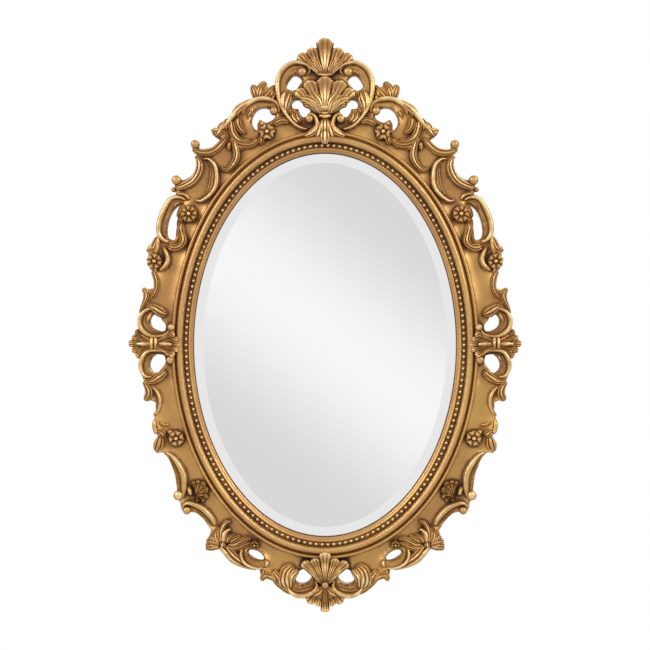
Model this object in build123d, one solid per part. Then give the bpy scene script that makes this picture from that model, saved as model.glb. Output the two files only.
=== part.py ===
from build123d import *
from build123d.topology import SkipClean
import os
from math import cos, pi, radians, sin, sqrt

# Oval wall mirror in a carved and gilded rococo frame. Millimetres, +Z up.
# The origin is the centre of the oval on the back face of the frame board.
# The front faces -Y, and x and z are measured from the centre of the oval.

# Oval and board
sight_half_width = 212.0
sight_half_height = 309.0
board_thickness = 16.0
rebate_depth = 10.0
lip_cover = 6.0
glass_play = 1.0
board_lip_setback = 3.0

# Glass and backing
glass_thickness = 4.0
bevel_width = 16.0
bevel_depth = 1.6
seat_gap = 0.1
backing_thickness = 3.0
backing_play = 1.5

# Moulding round the glass
moulding_width = 35.0
sight_slope_width = 6.5
sight_slope_rise = 8.0
channel_start = 7.5
channel_end = 15.0
channel_rise = 4.6
ridge_start = 15.5
ridge_end = 26.5
ridge_rise = 18.0
groove_rise = 9.0
outer_ridge_rise = 13.5
outer_wall_rise = 7.0
sight_edge_rise = 1.0
tongue_play = 0.2

# Beads in the channel
bead_radius = 2.9
bead_pitch = 9.45
bead_offset = 10.9
bead_gap = 0.1

# Ornament castings, laid in steps on the board
ornament_gap = 0.3
step_heights = (0.0, 10.0, ridge_rise + ornament_gap, 24.0)
step_nesting = 0.4
smallest_step = 12.0
smallest_piece = 60.0
thinnest = 2.0
shortest_edge = 0.15
ball_corners = 14
hole_corners = 20
section_spacing = 5.0
drawn_half_width = 212.0
drawn_half_height = 309.0

# Retaining clips
clip_count = 8
clip_width = 14.0
clip_sheet = 1.2
clip_tongue = 9.0
clip_flange = 13.0
clip_riser_play = 1.0

# Screws
screw_shank_radius = 1.5
screw_head_radius = 3.2
screw_head_height = 1.6
screw_length = 9.0
screw_point = 2.0
screw_play = 0.1
pilot_extra_depth = 1.0

# D-ring hangers
hanger_x = 226.0
hanger_z = 150.0
strap_width = 13.0
strap_length = 32.0
strap_sheet = 1.2
ring_wire_radius = 1.5
ring_play = 0.3
ring_inner_half_width = 10.5
ring_corner_radius = 2.2
ring_side_drop = 3.0
strap_screw_places = (8.5, 23.0)

# Wall pads
pad_radius = 9.0
pad_thickness = 6.0
pad_places = ((150.0, 290.0), (140.0, -290.0))

# Sizes worked out from the ones above
spread_x = sight_half_width / drawn_half_width
spread_z = sight_half_height / drawn_half_height
front = -board_thickness
glass_edge_offset = lip_cover
bevel_slope = bevel_depth / (bevel_width + glass_edge_offset)
shoulder_bevel = bevel_slope * (bevel_width + board_lip_setback)
glass_front = -rebate_depth - shoulder_bevel + seat_gap
glass_back = glass_front + glass_thickness
backing_back = glass_back + backing_thickness
rebate_offset = glass_edge_offset + glass_play

os.makedirs("parts", exist_ok=True)


def save(name, shape):
    shape.label = name
    export_step(shape, f"parts/{name}.step")


def place(x, z):
    # A point of the ornament, moved with the oval that it is fitted round
    return Vector(x * spread_x, 0, z * spread_z)


def oval(half_width, half_height, y):
    # The long axis of the oval lies along Z
    plane = Plane(origin=(0, y, 0), x_dir=(0, 0, 1), z_dir=(0, -1, 0))
    return Wire([Edge.make_ellipse(half_height, half_width, plane=plane)])


def oval_at(offset, y):
    return oval(sight_half_width + offset, sight_half_height + offset, y)


def oval_disc(offset, back, thickness):
    face = Face(oval_at(offset, back))
    return Solid.extrude(face, Vector(0, -thickness, 0))


def oval_point(angle, offset):
    # The point at an angle round the oval, moved outwards along its normal
    x = sight_half_width * cos(angle)
    z = sight_half_height * sin(angle)
    nx = cos(angle) / sight_half_width
    nz = sin(angle) / sight_half_height
    size = sqrt(nx * nx + nz * nz)
    return Vector(x + offset * nx / size, 0, z + offset * nz / size)


def rod(start, direction, radius, length):
    plane = Plane(origin=start, z_dir=direction)
    return Solid.make_cylinder(radius, length, plane=plane)


# Ornament strokes
# A stroke follows a ridge line over the board. Its section is a dome with its
# own half width on each side, and all its values blend evenly along the line.
# A casting takes its strokes' contours at a few heights as steps.

def blend(values, t):
    if len(values) == 1:
        return values[0]
    place_in_row = t * (len(values) - 1)
    k = min(int(place_in_row), len(values) - 2)
    share = place_in_row - k
    return values[k] * (1 - share) + values[k + 1] * share


def stroke(line, left, right, rise):
    return {"line": line, "left": left, "right": right, "rise": rise}


def even(line, half_width, rise):
    return stroke(line, half_width, half_width, rise)


def ball(x, z, radius, rise):
    return {"ball": (x, z), "radius": radius, "rise": rise}


def fan(hub, tips, waist, hub_rise, tip_rise):
    # Shell ribs from one hub, each ending in a round tip: x, z and radius
    strokes = []
    for x, z, radius in tips:
        middle = ((hub[0] + x) / 2, (hub[1] + z) / 2)
        widths = (waist, (waist + radius) / 2, radius)
        rises = (hub_rise, (hub_rise + tip_rise) / 2, tip_rise)
        strokes.append(even([hub, middle, (x, z)], widths, rises))
        strokes.append(ball(x, z, radius, tip_rise))
    return strokes


def flower(x, z, radius, petals, rise):
    # Round petals about a raised heart
    petal = radius * 0.5
    strokes = []
    for i in range(petals):
        angle = 2 * pi * i / petals + 0.3
        px = x + (radius - petal) * cos(angle)
        pz = z + (radius - petal) * sin(angle)
        strokes.append(ball(px, pz, petal, rise * 0.8))
    strokes.append(ball(x, z, radius * 0.45, rise))
    return strokes


def mirrored(pieces):
    # Adds the other half of a centre ornament
    both = []
    for piece in pieces:
        both.append(piece)
        if "ball" in piece:
            x, z = piece["ball"]
            if x > 0:
                both.append(ball(-x, z, piece["radius"], piece["rise"]))
        elif min(x for x, z in piece["line"]) >= 0 and piece["line"][-1][0] > 0:
            line = [(-x, z) for x, z in piece["line"]]
            both.append(stroke(line, piece["right"], piece["left"], piece["rise"]))
    return both


def facing_front(face):
    return face if face.normal_at().Y < 0 else -face


def ridge_curve(line):
    points = [place(x, z) for x, z in line]
    if len(points) == 2:
        return Edge.make_line(points[0], points[1])
    return Edge.make_spline(points)


def width_share(height, rise):
    # Share of the foot's width that a dome of this rise still has at a height
    if height >= rise:
        return 0
    return sqrt(1 - (height / rise) ** 2)


def ball_outline(piece, height, extra):
    centre = place(*piece["ball"])
    radius = piece["radius"] * width_share(height, piece["rise"]) + extra
    if radius < thinnest / 2:
        return []
    angles = [2 * pi * i / ball_corners for i in range(ball_corners)]
    corners = [centre + Vector(radius * cos(a), 0, radius * sin(a)) for a in angles]
    return [facing_front(Face(Wire.make_polygon(corners, close=True)))]


def rows_along(piece, height, extra):
    # Pairs of edge points across the stroke, in runs that stand above the height
    curve = ridge_curve(piece["line"])
    count = max(3, round(curve.length / section_spacing))
    runs = [[]]
    for i in range(count + 1):
        t = i / count
        share = width_share(height, blend(piece["rise"], t))
        left_foot = blend(piece["left"], t)
        right_foot = blend(piece["right"], t)
        left = left_foot * share + extra
        right = right_foot * share + extra
        if left + right < thinnest:
            if runs[-1]:
                runs.append([])
            continue
        along = curve.tangent_at(t)
        across = Vector(along.Z, 0, -along.X)
        inset = (1 - share) * (left_foot + right_foot) / 2 - extra
        middle = curve.position_at(t)
        if i == 0:
            middle = middle + along * inset
        if i == count:
            middle = middle - along * inset
        runs[-1].append((middle - across * left, middle + across * right))
    return [run for run in runs if len(run) > 1]


def contour(piece, height, extra=0):
    # Plan outlines of a stroke at a height above the board
    if "ball" in piece:
        return ball_outline(piece, height, extra)
    faces = []
    for run in rows_along(piece, height, extra):
        left = [pair[0] for pair in run]
        right = [pair[1] for pair in reversed(run)]
        faces.append(facing_front(Face(Wire.make_polygon(left + right, close=True))))
    return faces


def straight_rim(wire):
    # The same rim as plain straight edges, without the shortest ones
    corners = []
    for edge in wire.order_edges():
        point = edge.position_at(0)
        if not corners or (point - corners[-1]).length > shortest_edge:
            corners.append(point)
    if (corners[-1] - corners[0]).length < shortest_edge:
        corners.pop()
    return Wire.make_polygon(corners, close=True)


def joined(faces):
    # The union of some straight-edged plan outlines
    if len(faces) < 2:
        return faces
    body = faces[0].fuse(*faces[1:])
    if isinstance(body, list):
        body = Compound(list(body))
    plain = []
    for face in body.clean().faces():
        holes = [w for w in face.inner_wires() if Face(w).area > smallest_step]
        rims = [straight_rim(w) for w in holes]
        plain.append(facing_front(Face(straight_rim(face.outer_wire()), rims)))
    return plain


def plan_box(pieces):
    # Reach of some strokes over the board: least x, most x, least z, most z
    xs = []
    zs = []
    for piece in pieces:
        if "ball" in piece:
            points = [place(*piece["ball"])]
            reach = piece["radius"]
        else:
            points = [place(x, z) for x, z in piece["line"]]
            reach = max(piece["left"] + piece["right"])
        for point in points:
            xs += [point.X - reach, point.X + reach]
            zs += [point.Z - reach, point.Z + reach]
    return min(xs), max(xs), min(zs), max(zs)


def boxes_meet(first, second):
    apart_x = first[0] > second[1] or second[0] > first[1]
    apart_z = first[2] > second[3] or second[2] > first[3]
    return not (apart_x or apart_z)


def trimmed(faces, cutters):
    if not cutters:
        return faces
    kept = []
    for face in faces:
        with SkipClean():
            rest = face.cut(*cutters)
        if isinstance(rest, list):
            rest = Compound(list(rest))
        kept += list(rest.faces())
    return kept


# Centre ornaments, drawn on the right half and mirrored
centre_ornaments = {}

centre_ornaments["crest_shell"] = mirrored(
    fan(
        (0, 374),
        [(0, 420, 9.5), (13, 417.5, 7), (28, 414.5, 8.5), (41.5, 401.5, 6.8), (33, 388, 3.8)],
        5, 20, 27,
    )
    + [ball(0, 383, 7, 30), even([(-9, 367), (0, 366), (9, 367)], (3, 5, 3), (16, 24, 16))]
)

centre_ornaments["crest_stem"] = mirrored([
    even([(0, 361), (0, 350), (0, 338)], (8, 8, 8), (20, 24, 24)),
    even([(0, 342), (0, 331), (0, 322)], (8, 7, 3), (24, 24, 20)),
    even([(5, 350), (9, 340), (14, 331)], (4, 5, 4), (22, 23, 20)),
    even([(8, 354), (16, 346), (26, 339), (33, 336)], (3, 4.5, 4, 2), (20, 22, 22, 19)),
    even(
        [(27, 367), (22, 369.5), (16.5, 366), (13.5, 359), (13, 352), (16, 346), (22, 341)],
        (2.5, 3.2, 3.2, 3.2), (14, 18, 18, 18),
    ),
    ball(25, 362, 4, 17),
])

centre_ornaments["crest_palmette"] = mirrored(
    fan(
        (0, 440),
        [(0, 482, 10), (10.5, 479, 5), (21.5, 470.5, 5.5), (40, 464, 5.5), (40.5, 455.5, 3.8)],
        3.5, 12, 21,
    )
)

centre_ornaments["bottom_shell"] = mirrored(
    fan((0, -378), [(0, -339, 8), (15, -346, 5.5), (30, -348.5, 4.5), (25, -356, 3.5)], 5, 20, 25)
    + [ball(0, -382, 6, 24)]
)

centre_ornaments["bottom_pendant"] = mirrored(
    fan((0, -391), [(0, -419, 8.5), (12, -413, 5), (25.5, -407.5, 6)], 4, 16, 21)
)

# Side ornaments of the right half, the uppermost ones first
side_ornaments = {}

side_ornaments["crest_flower"] = flower(93, 341.5, 13, 6, 24) + [
    even([(98, 350), (102, 356), (105, 361)], (4, 4, 1.5), (16, 16, 10)),
]

side_ornaments["loop_flower"] = flower(218, 210, 13.5, 8, 24) + [
    even([(226, 202), (231, 200), (236, 197)], (5, 4, 2), (16, 15, 10)),
    even(
        [(228, 197), (231, 188), (229, 178), (227, 168), (232, 159), (243, 156), (253, 160)],
        (3, 6, 5, 6, 5, 6, 4), (14, 18, 16, 18, 16, 16, 12),
    ),
]

side_ornaments["side_flower"] = flower(273, 134, 12.5, 7, 24) + [
    even(
        [(260, 158), (255, 150), (252, 141), (252, 134), (255, 128), (260, 123), (266, 119)],
        (2, 3.5, 4, 4, 3), (12, 18, 18, 18, 14),
    ),
    even([(272, 124), (270, 113)], (4, 2), (16, 10)),
]

side_ornaments["side_palmette"] = (
    fan(
        (269, 2),
        [(244, 16, 4), (239, 9, 4.5), (234, 1, 4.5), (238, -7, 4.5), (244, -14, 4)],
        3, 22, 23,
    )
    + fan(
        (278, 2),
        [(299, 21, 4), (305, 12, 5), (310, 2.5, 5), (305, -9, 5), (299, -16, 4)],
        3, 20, 16,
    )
    + [even([(274, -6), (274, 4), (274, 13)], (5, 6.5, 5), (20, 26, 20))]
)

side_ornaments["lower_flower"] = flower(238, -149.5, 12.5, 6, 24) + [
    even([(245, -142), (249, -139), (253, -136)], (4, 4, 1.5), (16, 14, 8)),
]

side_ornaments["lower_shell"] = (
    fan(
        (208, -240),
        [
            (191, -242, 3.5), (190.5, -231, 4), (195, -223, 4), (203, -221, 4),
            (210, -222, 3.5), (196, -247, 3.5), (204, -247, 3),
        ],
        2.5, 20, 20,
    )
    + [even([(214, -241), (217, -233), (219, -226)], (3, 4, 2.5), (18, 18, 14))]
)

side_ornaments["shoulder_cartouche"] = [
    stroke(
        [
            (196, 296), (190, 298), (183, 295), (177, 288), (174, 279), (173, 268),
            (174, 257), (178, 248), (184, 241), (192, 235), (200, 231), (208, 233),
        ],
        (3, 6, 9, 12, 12, 9, 5, 3), (3, 4, 4, 4, 4, 4, 4, 3), (12, 18, 18, 18, 18, 18, 18, 14),
    ),
    stroke(
        [
            (209, 302), (204, 299), (201, 289), (202, 281), (205, 273), (210, 265),
            (217, 259), (225, 254.5), (233, 252), (241, 253),
        ],
        (2, 5, 6, 6, 7, 7, 8, 3), (2, 5, 8, 8, 7, 6, 5, 3), (12, 22, 22, 22, 22, 22, 20, 16),
    ),
    ball(238, 264, 6, 20),
    ball(243, 249, 3, 12),
    even([(192, 288), (189, 270), (198, 250), (208, 242)], (4, 12, 10, 5), (8, 8, 8, 8)),
]

side_ornaments["lower_acanthus"] = [
    even(
        [(166, -318), (167, -305), (165, -294), (159, -285), (150, -282)],
        (5, 4.5, 4, 3.5, 2), (20, 20, 20, 18, 14),
    ),
    even([(163, -318), (161, -306), (155, -298)], (5, 5, 2), (20, 18, 12)),
    even([(168, -316), (171, -303), (170, -290)], (5, 5, 2), (20, 18, 12)),
    even([(168, -320), (179, -312), (187, -308)], (5, 6, 3), (20, 18, 12)),
    even([(168, -323), (181, -321), (192, -321)], (5, 6, 3.5), (20, 18, 12)),
    stroke(
        [(168, -321), (160, -331), (149, -344), (136, -352), (122, -357), (110, -360)],
        (5, 5, 5, 4, 3, 2), (5, 9, 8, 6, 4, 2), (20, 20, 18, 16, 14, 10),
    ),
    even([(162, -320), (148, -319), (133, -317), (120, -314)], (6, 8, 7, 3), (18, 16, 14, 8)),
]

side_ornaments["crest_scroll"] = [
    stroke(
        [
            (33, 430), (25, 437), (27, 446), (36, 451), (48, 453), (58, 450), (67, 443),
            (73, 434), (76.5, 424), (77, 412), (75.5, 400), (73, 390), (69, 380),
            (63, 370), (55, 360), (46, 352), (36, 347.5), (28, 346),
        ],
        (2.5, 3, 3, 3.5, 3.5, 3, 3), (2.5, 9, 16, 14, 11, 7, 3), (14, 20, 22, 22, 20, 18, 14),
    ),
    ball(37, 437, 5.5, 20),
    stroke(
        [(62, 369), (63, 382), (59, 396), (56, 407)],
        (4, 7, 8, 6), (4, 5, 6, 5), (16, 22, 22, 14),
    ),
    even([(40, 359), (46, 366), (47, 373), (45, 379)], (6, 6, 4.5, 1.5), (14, 16, 14, 8)),
    even([(56, 357), (66, 360), (75, 358), (84, 352)], (3, 5, 5.5, 4), (14, 17, 17, 12)),
]

side_ornaments["arch_leaf"] = [
    stroke(
        [(114, 394), (130, 386), (141, 376), (150, 364), (158, 353), (168, 345), (181, 344)],
        (3, 4, 4, 4, 4, 4, 5), (4, 8, 12, 12, 10, 8, 5), (12, 18, 22, 22, 20, 18, 12),
    ),
    stroke(
        [(150, 361), (150, 350), (147, 338), (139, 329), (128, 326), (119, 330)],
        (3, 5, 6, 5, 5, 3), (4, 7, 8, 6, 5, 3), (16, 19, 19, 18, 16, 12),
    ),
    even([(140, 366), (139, 353), (134, 344), (125, 339)], (5, 6, 5, 3), (16, 18, 16, 12)),
    even([(152, 333), (142, 325), (128, 321), (115, 323), (107, 331)], (5, 6, 6, 5, 4), (14,)),
    even([(155, 363), (158, 352), (158, 342)], (4, 6, 3.5), (20, 20, 14)),
    even([(164, 348), (170, 340), (175, 333)], (4, 6, 3.5), (18, 18, 14)),
]

side_ornaments["arch_scroll"] = [
    stroke(
        [
            (75, 371), (74, 379), (77, 386), (83, 391), (92, 394.5), (102, 395.5),
            (112, 393.5), (121, 389), (128, 383), (131.5, 376), (131, 367),
        ],
        (3, 3.5, 3.5, 3.5, 3.5, 3), (3, 7, 13, 15, 14, 10), (14, 18, 20, 20, 18, 14),
    ),
    ball(82, 375, 5, 18),
    even([(117, 377), (122, 367), (125, 359)], (6, 5, 2.5), (14, 14, 10)),
] + fan(
    (99, 396),
    [(82, 412.5, 4), (88, 412, 4), (95, 417, 5), (107, 411, 5), (116, 413, 5)],
    4.5, 16, 12,
)

side_ornaments["shoulder_scroll"] = [
    stroke(
        [
            (157, 334), (160, 328), (165, 321), (171, 315), (178, 310), (186, 307.5),
            (194, 307), (201, 308), (208, 311), (212, 316),
        ],
        (4, 8, 8, 8, 7, 3), (3, 5, 6, 6, 5, 3), (14, 19, 19, 19, 19, 16),
    ),
    ball(208, 321.5, 5.5, 18),
    stroke(
        [(147, 333), (144, 322), (141, 310), (141, 300), (145, 291), (151, 284), (159, 280), (168, 284)],
        (4, 6, 7, 7, 6, 4, 2), (3, 5, 5, 5, 4, 4, 2), (14, 18, 20, 20, 18, 16, 12),
    ),
    even([(154, 322), (164, 306), (180, 297)], (6, 10, 8), (9,)),
    even([(143, 322), (135, 316), (128, 312)], (5, 4, 1.5), (14, 12, 6)),
]

side_ornaments["loop_scroll"] = [
    stroke(
        [
            (222, 231), (231, 235.5), (241, 236), (248, 232), (254, 224), (259, 215), (263, 205),
            (266, 193), (266, 182), (263, 174), (257, 168), (249, 165.5),
        ],
        (3, 4, 5, 4.5, 4.5, 4.5, 5, 4), (3, 7, 9, 12, 12, 12, 8, 4), (14, 20, 21, 21, 21, 21, 20, 16),
    ),
    even([(217, 232), (222, 239), (230, 242), (237, 241)], (2.5, 3.2, 3.2, 2), (14, 17, 17, 14)),
    even([(224, 226), (231, 216), (236, 204)], (4, 4.5, 3), (12, 14, 12)),
]

side_ornaments["side_leaf_upper"] = [
    even([(268, 174), (271, 163), (277, 154), (287, 151)], (4, 6, 5.5, 2), (12, 16, 15, 8)),
    even([(270, 162), (272, 153), (276, 147)], (4, 5, 4), (14, 15, 12)),
    stroke(
        [(293, 91), (287, 85), (286, 76), (290, 67), (294, 58), (296, 50)],
        (4, 6, 6, 4, 3, 3), (4, 5, 5, 5, 4, 3), (8, 15, 17, 17, 16, 14),
    ),
    stroke(
        [(276, 120), (271, 110), (269, 98), (271, 87), (276, 79), (284, 70)],
        (5, 6, 6, 5, 4, 2), (4, 5, 5, 5, 4, 3), (14, 16, 16, 16, 15, 12),
    ),
]

side_ornaments["side_ring_upper"] = [
    stroke(
        [
            (268, 56), (276, 58), (284, 57), (291, 53), (296, 46), (298, 38), (297, 30),
            (292, 22), (285, 17), (277, 14), (268, 13.5), (260, 15), (253, 19), (249, 25),
        ],
        (3, 3, 3, 3, 3, 3, 3, 3), (5, 8, 11, 15, 14, 9, 7, 4), (14, 18, 20, 20, 20, 20, 18, 16),
    ),
    ball(246, 28, 5, 18),
    even([(288, 64), (275, 60), (262, 52), (252, 48)], (3, 6, 8, 4), (14, 18, 18, 12)),
]

side_ornaments["side_ring_lower"] = [
    stroke(
        [
            (250, -19), (256, -12), (264, -9), (273, -8.5), (282, -9.5), (289, -14),
            (294, -22), (296.5, -31), (295, -40), (291, -47), (284, -51), (276, -50),
        ],
        (3, 3, 3, 3, 3, 3, 3, 3), (4, 6, 7, 9, 14, 13, 8, 5), (16, 18, 20, 20, 20, 20, 18, 14),
    ),
    ball(248, -24, 5, 18),
    even([(290, -57), (277, -58), (264, -50), (254, -41)], (3, 5, 7, 4), (14, 18, 18, 12)),
]

side_ornaments["side_leaf_lower"] = [
    even([(291, -58), (284, -68), (282, -79), (289, -90)], (3, 5.5, 6.5, 4.5), (14, 17, 17, 9)),
    stroke(
        [(278, -66), (271, -73), (266, -81), (264, -90), (265, -99), (268, -107), (275, -114)],
        (3, 6, 8, 8, 7, 4, 2), (3, 4, 4, 4, 4, 3, 2), (12, 15, 16, 16, 15, 13, 9),
    ),
    even([(249, -127), (257, -128), (266, -122)], (2, 2.5, 2), (10, 12, 12)),
    even([(271, -118), (273, -126), (272, -135), (269, -143)], (2.5, 4, 4, 4), (12, 15, 16, 16)),
    even([(255, -147), (262, -141), (269, -137)], (4, 6, 4), (14, 16, 14)),
    even([(263, -146), (266, -160), (271, -172)], (5, 8.5, 6), (16, 17, 10)),
]

side_ornaments["lower_edge_scroll"] = [
    stroke(
        [
            (257, -171), (248, -175), (241, -182), (235, -190), (230, -199), (226, -210),
            (225, -220), (225, -230), (227, -240), (231, -248),
        ],
        (4, 8, 12, 13, 14, 12, 6), (2, 4, 5, 6, 5, 4, 2), (12, 18, 19, 19, 19, 18, 14),
    ),
    ball(235, -241, 6, 20),
]

side_ornaments["lower_scroll"] = [
    stroke(
        [
            (227, -262), (226, -257), (221, -253.5), (213, -254), (205, -256.5), (197, -261),
            (189, -268), (183, -275), (178, -283), (175, -291),
        ],
        (3, 8, 12, 12, 12, 10, 8), (2, 4, 4, 5, 5, 5, 4), (14, 19, 19, 19, 19, 18, 14),
    ),
    ball(221, -265, 5, 18),
]

side_ornaments["lower_loop"] = flower(113, -321, 7.5, 5, 18) + [
    stroke(
        [(132, -325), (134, -336), (130, -347), (121, -353.5), (109, -357), (98, -356.5)],
        (4, 4, 4, 3.5, 3, 3), (4, 6, 6, 6, 5, 4), (14, 18, 18, 18, 18, 16),
    ),
    even([(96, -357), (93, -350), (95, -343)], (3, 4, 3), (14, 16, 12)),
    even([(79, -378), (88, -371), (97, -370), (102, -379)], (3, 5, 5.5, 3), (12, 15, 14, 8)),
    even([(101, -358), (99, -364), (98, -371)], (4, 5, 4), (12, 14, 12)),
]

side_ornaments["bottom_ring"] = [
    stroke(
        [
            (16, -376), (13, -385), (16, -393), (24, -399), (33, -402), (43, -402),
            (52, -398), (58, -391), (60, -382), (57, -374),
        ],
        (4, 9, 14, 14, 11, 6, 4), (3, 3.5, 3.5, 3.5, 3.5, 4, 3), (14, 20, 21, 21, 20, 18, 14),
    ),
    even([(51, -398), (62, -392), (72, -385), (83, -377)], (4, 5, 4.5, 3), (16, 17, 16, 12)),
    even([(66, -386), (64, -372), (57, -359), (49, -349)], (5, 9, 8, 4), (18, 22, 20, 12)),
    even([(70, -382), (77, -370), (85, -360)], (4, 6, 4), (16, 17, 10)),
]


# Frame board

# Sawn outline of the right half, from the top down, as smooth runs between corners
board_outline = [
    [(0, 484), (7, 483), (12, 478.5)],
    [(12, 478.5), (18, 473), (24, 469)],
    [(24, 469), (34, 466), (41, 461)],
    [(41, 461), (42, 456), (42, 451.5)],
    [(42, 451.5), (50, 451), (58, 448), (66, 441), (72, 432), (75, 422), (75.5, 410), (72, 390)],
    [(72, 390), (75, 387), (79, 391)],
    [(79, 391), (77, 402), (81, 411)],
    [(81, 411), (86, 411.5), (92, 415)],
    [(92, 415), (96, 417), (100, 410)],
    [(100, 410), (108, 411), (115, 413)],
    [(115, 413), (114, 406), (110, 399), (111, 394.5)],
    [(111, 394.5), (122, 391), (132, 386), (141, 379), (150, 367), (158, 356), (166, 348)],
    [(166, 348), (174, 345.5), (183, 346)],
    [(183, 346), (181, 339), (174, 333), (166, 328)],
    [(166, 328), (171, 320), (180, 314.5), (190, 312.5), (200, 315), (206, 321)],
    [(206, 321), (209, 320), (209.5, 315), (205, 307)],
    [(205, 307), (207, 298), (206, 289), (209, 279), (216, 270), (226, 265), (236, 265)],
    [(236, 265), (240, 262), (241, 256), (240, 247), (239, 239)],
    [(239, 239), (246, 234), (252, 227), (258, 216), (263, 202), (266, 188), (267.5, 171)],
    [(267.5, 171), (271, 162), (277, 155.5), (284, 151)],
    [(284, 151), (283, 140), (283, 128), (278, 119)],
    [(278, 119), (273, 109), (272.5, 99), (275, 91)],
    [(275, 91), (282, 90), (291, 90)],
    [(291, 90), (288, 80), (290, 70), (293, 60), (297, 49), (299, 38), (296, 26)],
    [(296, 26), (304, 15), (308, 3), (304, -10), (297, -20)],
    [(297, -20), (297, -32), (295, -45), (290, -58), (284, -68), (284, -80), (287, -89)],
    [(287, -89), (280, -89), (272, -92)],
    [(272, -92), (271, -102), (274, -113)],
    [(274, -113), (273, -126), (270, -140), (268, -152), (269, -164), (270, -174)],
    [(270, -174), (262, -172.5), (256, -175)],
    [(256, -175), (248, -188), (242, -204), (239, -219), (237.5, -233), (238, -245), (232, -252)],
    [(232, -252), (231, -261), (226, -269), (214, -268), (204, -271), (193, -282), (183, -297)],
    [(183, -297), (185, -306), (190, -314), (190, -322)],
    [(190, -322), (182, -321), (172, -325), (160, -332), (150, -342), (136, -352), (120, -358)],
    [(120, -358), (110, -359.5), (101, -361)],
    [(101, -361), (103, -368), (102, -377)],
    [(102, -377), (93, -375), (84, -377), (74, -384), (62, -393), (50, -400), (36, -403.5)],
    [(36, -403.5), (29, -404), (24, -407)],
    [(24, -407), (16, -411), (8, -419), (0, -424)],
]

# Openings pierced through the right half of the board and its ornament
pierced_openings = [
    [(42, 431), (50, 432.5), (56, 427), (61, 415), (56, 409), (47, 409), (40, 418), (37, 424)],
    [(37, 391), (47, 393.5), (53, 388), (51, 379), (44, 378), (36, 366), (28, 368), (24, 378)],
    [(80, 366), (88, 378), (98, 381), (109, 377), (116, 366), (116, 352), (109, 344), (107, 357), (92, 357)],
    [(227, 225.5), (240, 220), (249, 206), (253.5, 188), (250, 171), (241, 169), (238, 188), (234, 208)],
    [(266, 47), (274, 49), (280, 42), (279, 31), (270, 24), (258, 22.5), (256, 32), (262, 40)],
    [(260, -15), (272, -16), (281, -28), (279, -40), (270, -45), (262, -37), (256, -27)],
    [(99, -345), (98, -340), (108, -331), (119, -328.5), (123, -334), (116, -341.5)],
    [(21, -368), (26, -361.5), (37, -360.5), (48, -369), (48, -378), (36, -384), (25, -379)],
]


def hole_rim(points):
    return Edge.make_spline([place(x, z) for x, z in points], periodic=True)


def hole_prism(points):
    face = facing_front(Face(Wire([hole_rim(points)]))).moved(Location((0, 1, 0)))
    return Solid.extrude(face, Vector(0, -board_thickness - 2, 0))


def hole_face(points, side, grow):
    # Plan face of a pierced opening on the right (1) or left (-1), wider by a margin
    rim = hole_rim(points)
    centre = Face(Wire([rim])).center()
    corners = []
    for i in range(hole_corners):
        point = rim.position_at(i / hole_corners)
        along = rim.tangent_at(i / hole_corners)
        outward = Vector(along.Z, 0, -along.X)
        if outward.dot(point - centre) < 0:
            outward = outward * -1
        corner = point + outward * grow
        corners.append(Vector(side * corner.X, 0, corner.Z))
    return facing_front(Face(Wire.make_polygon(corners, close=True)))


def mirrored_left(shape):
    return shape.mirror(Plane.YZ)


def rebate_frame(angle):
    # Plane on the back of the board at the rebate wall, X outwards, Z rearwards
    origin = oval_point(angle, rebate_offset)
    outward = oval_point(angle, rebate_offset + 1) - origin
    return Plane(origin=(origin.X, 0, origin.Z), x_dir=(outward.X, 0, outward.Z), z_dir=(0, 1, 0))


clip_angles = [2 * pi * (i + 0.5) / clip_count for i in range(clip_count)]
clip_screw_reach = clip_flange / 2


def clip_screw_point(angle):
    centre = rebate_frame(angle).from_local_coords(Vector(clip_screw_reach, 0, 0))
    return centre.X, centre.Z


def strap_screw_points(x):
    return [(x, hanger_z - drop) for drop in strap_screw_places]


def pilot_hole(x, z):
    depth = screw_length + pilot_extra_depth
    return rod((x, 1, z), (0, -1, 0), screw_shank_radius + screw_play, depth + 1)


def frame_base():
    edges = []
    for run in board_outline:
        for side in (1, -1):
            points = [place(side * x, z) for x, z in run]
            edges.append(Edge.make_spline(points))
    body = Solid.extrude(Face(Wire(edges)), Vector(0, -board_thickness, 0))
    cuts = [oval_disc(board_lip_setback, 1, board_thickness + 2)]
    cuts.append(oval_disc(rebate_offset, 1, rebate_depth + 1))
    for points in pierced_openings:
        hole = hole_prism(points)
        cuts.append(hole)
        cuts.append(mirrored_left(hole))
    for angle in clip_angles:
        cuts.append(pilot_hole(*clip_screw_point(angle)))
    for side in (1, -1):
        for x, z in strap_screw_points(side * hanger_x):
            cuts.append(pilot_hole(x, z))
    return body.cut(*cuts)


# Moulding and beads

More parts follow.
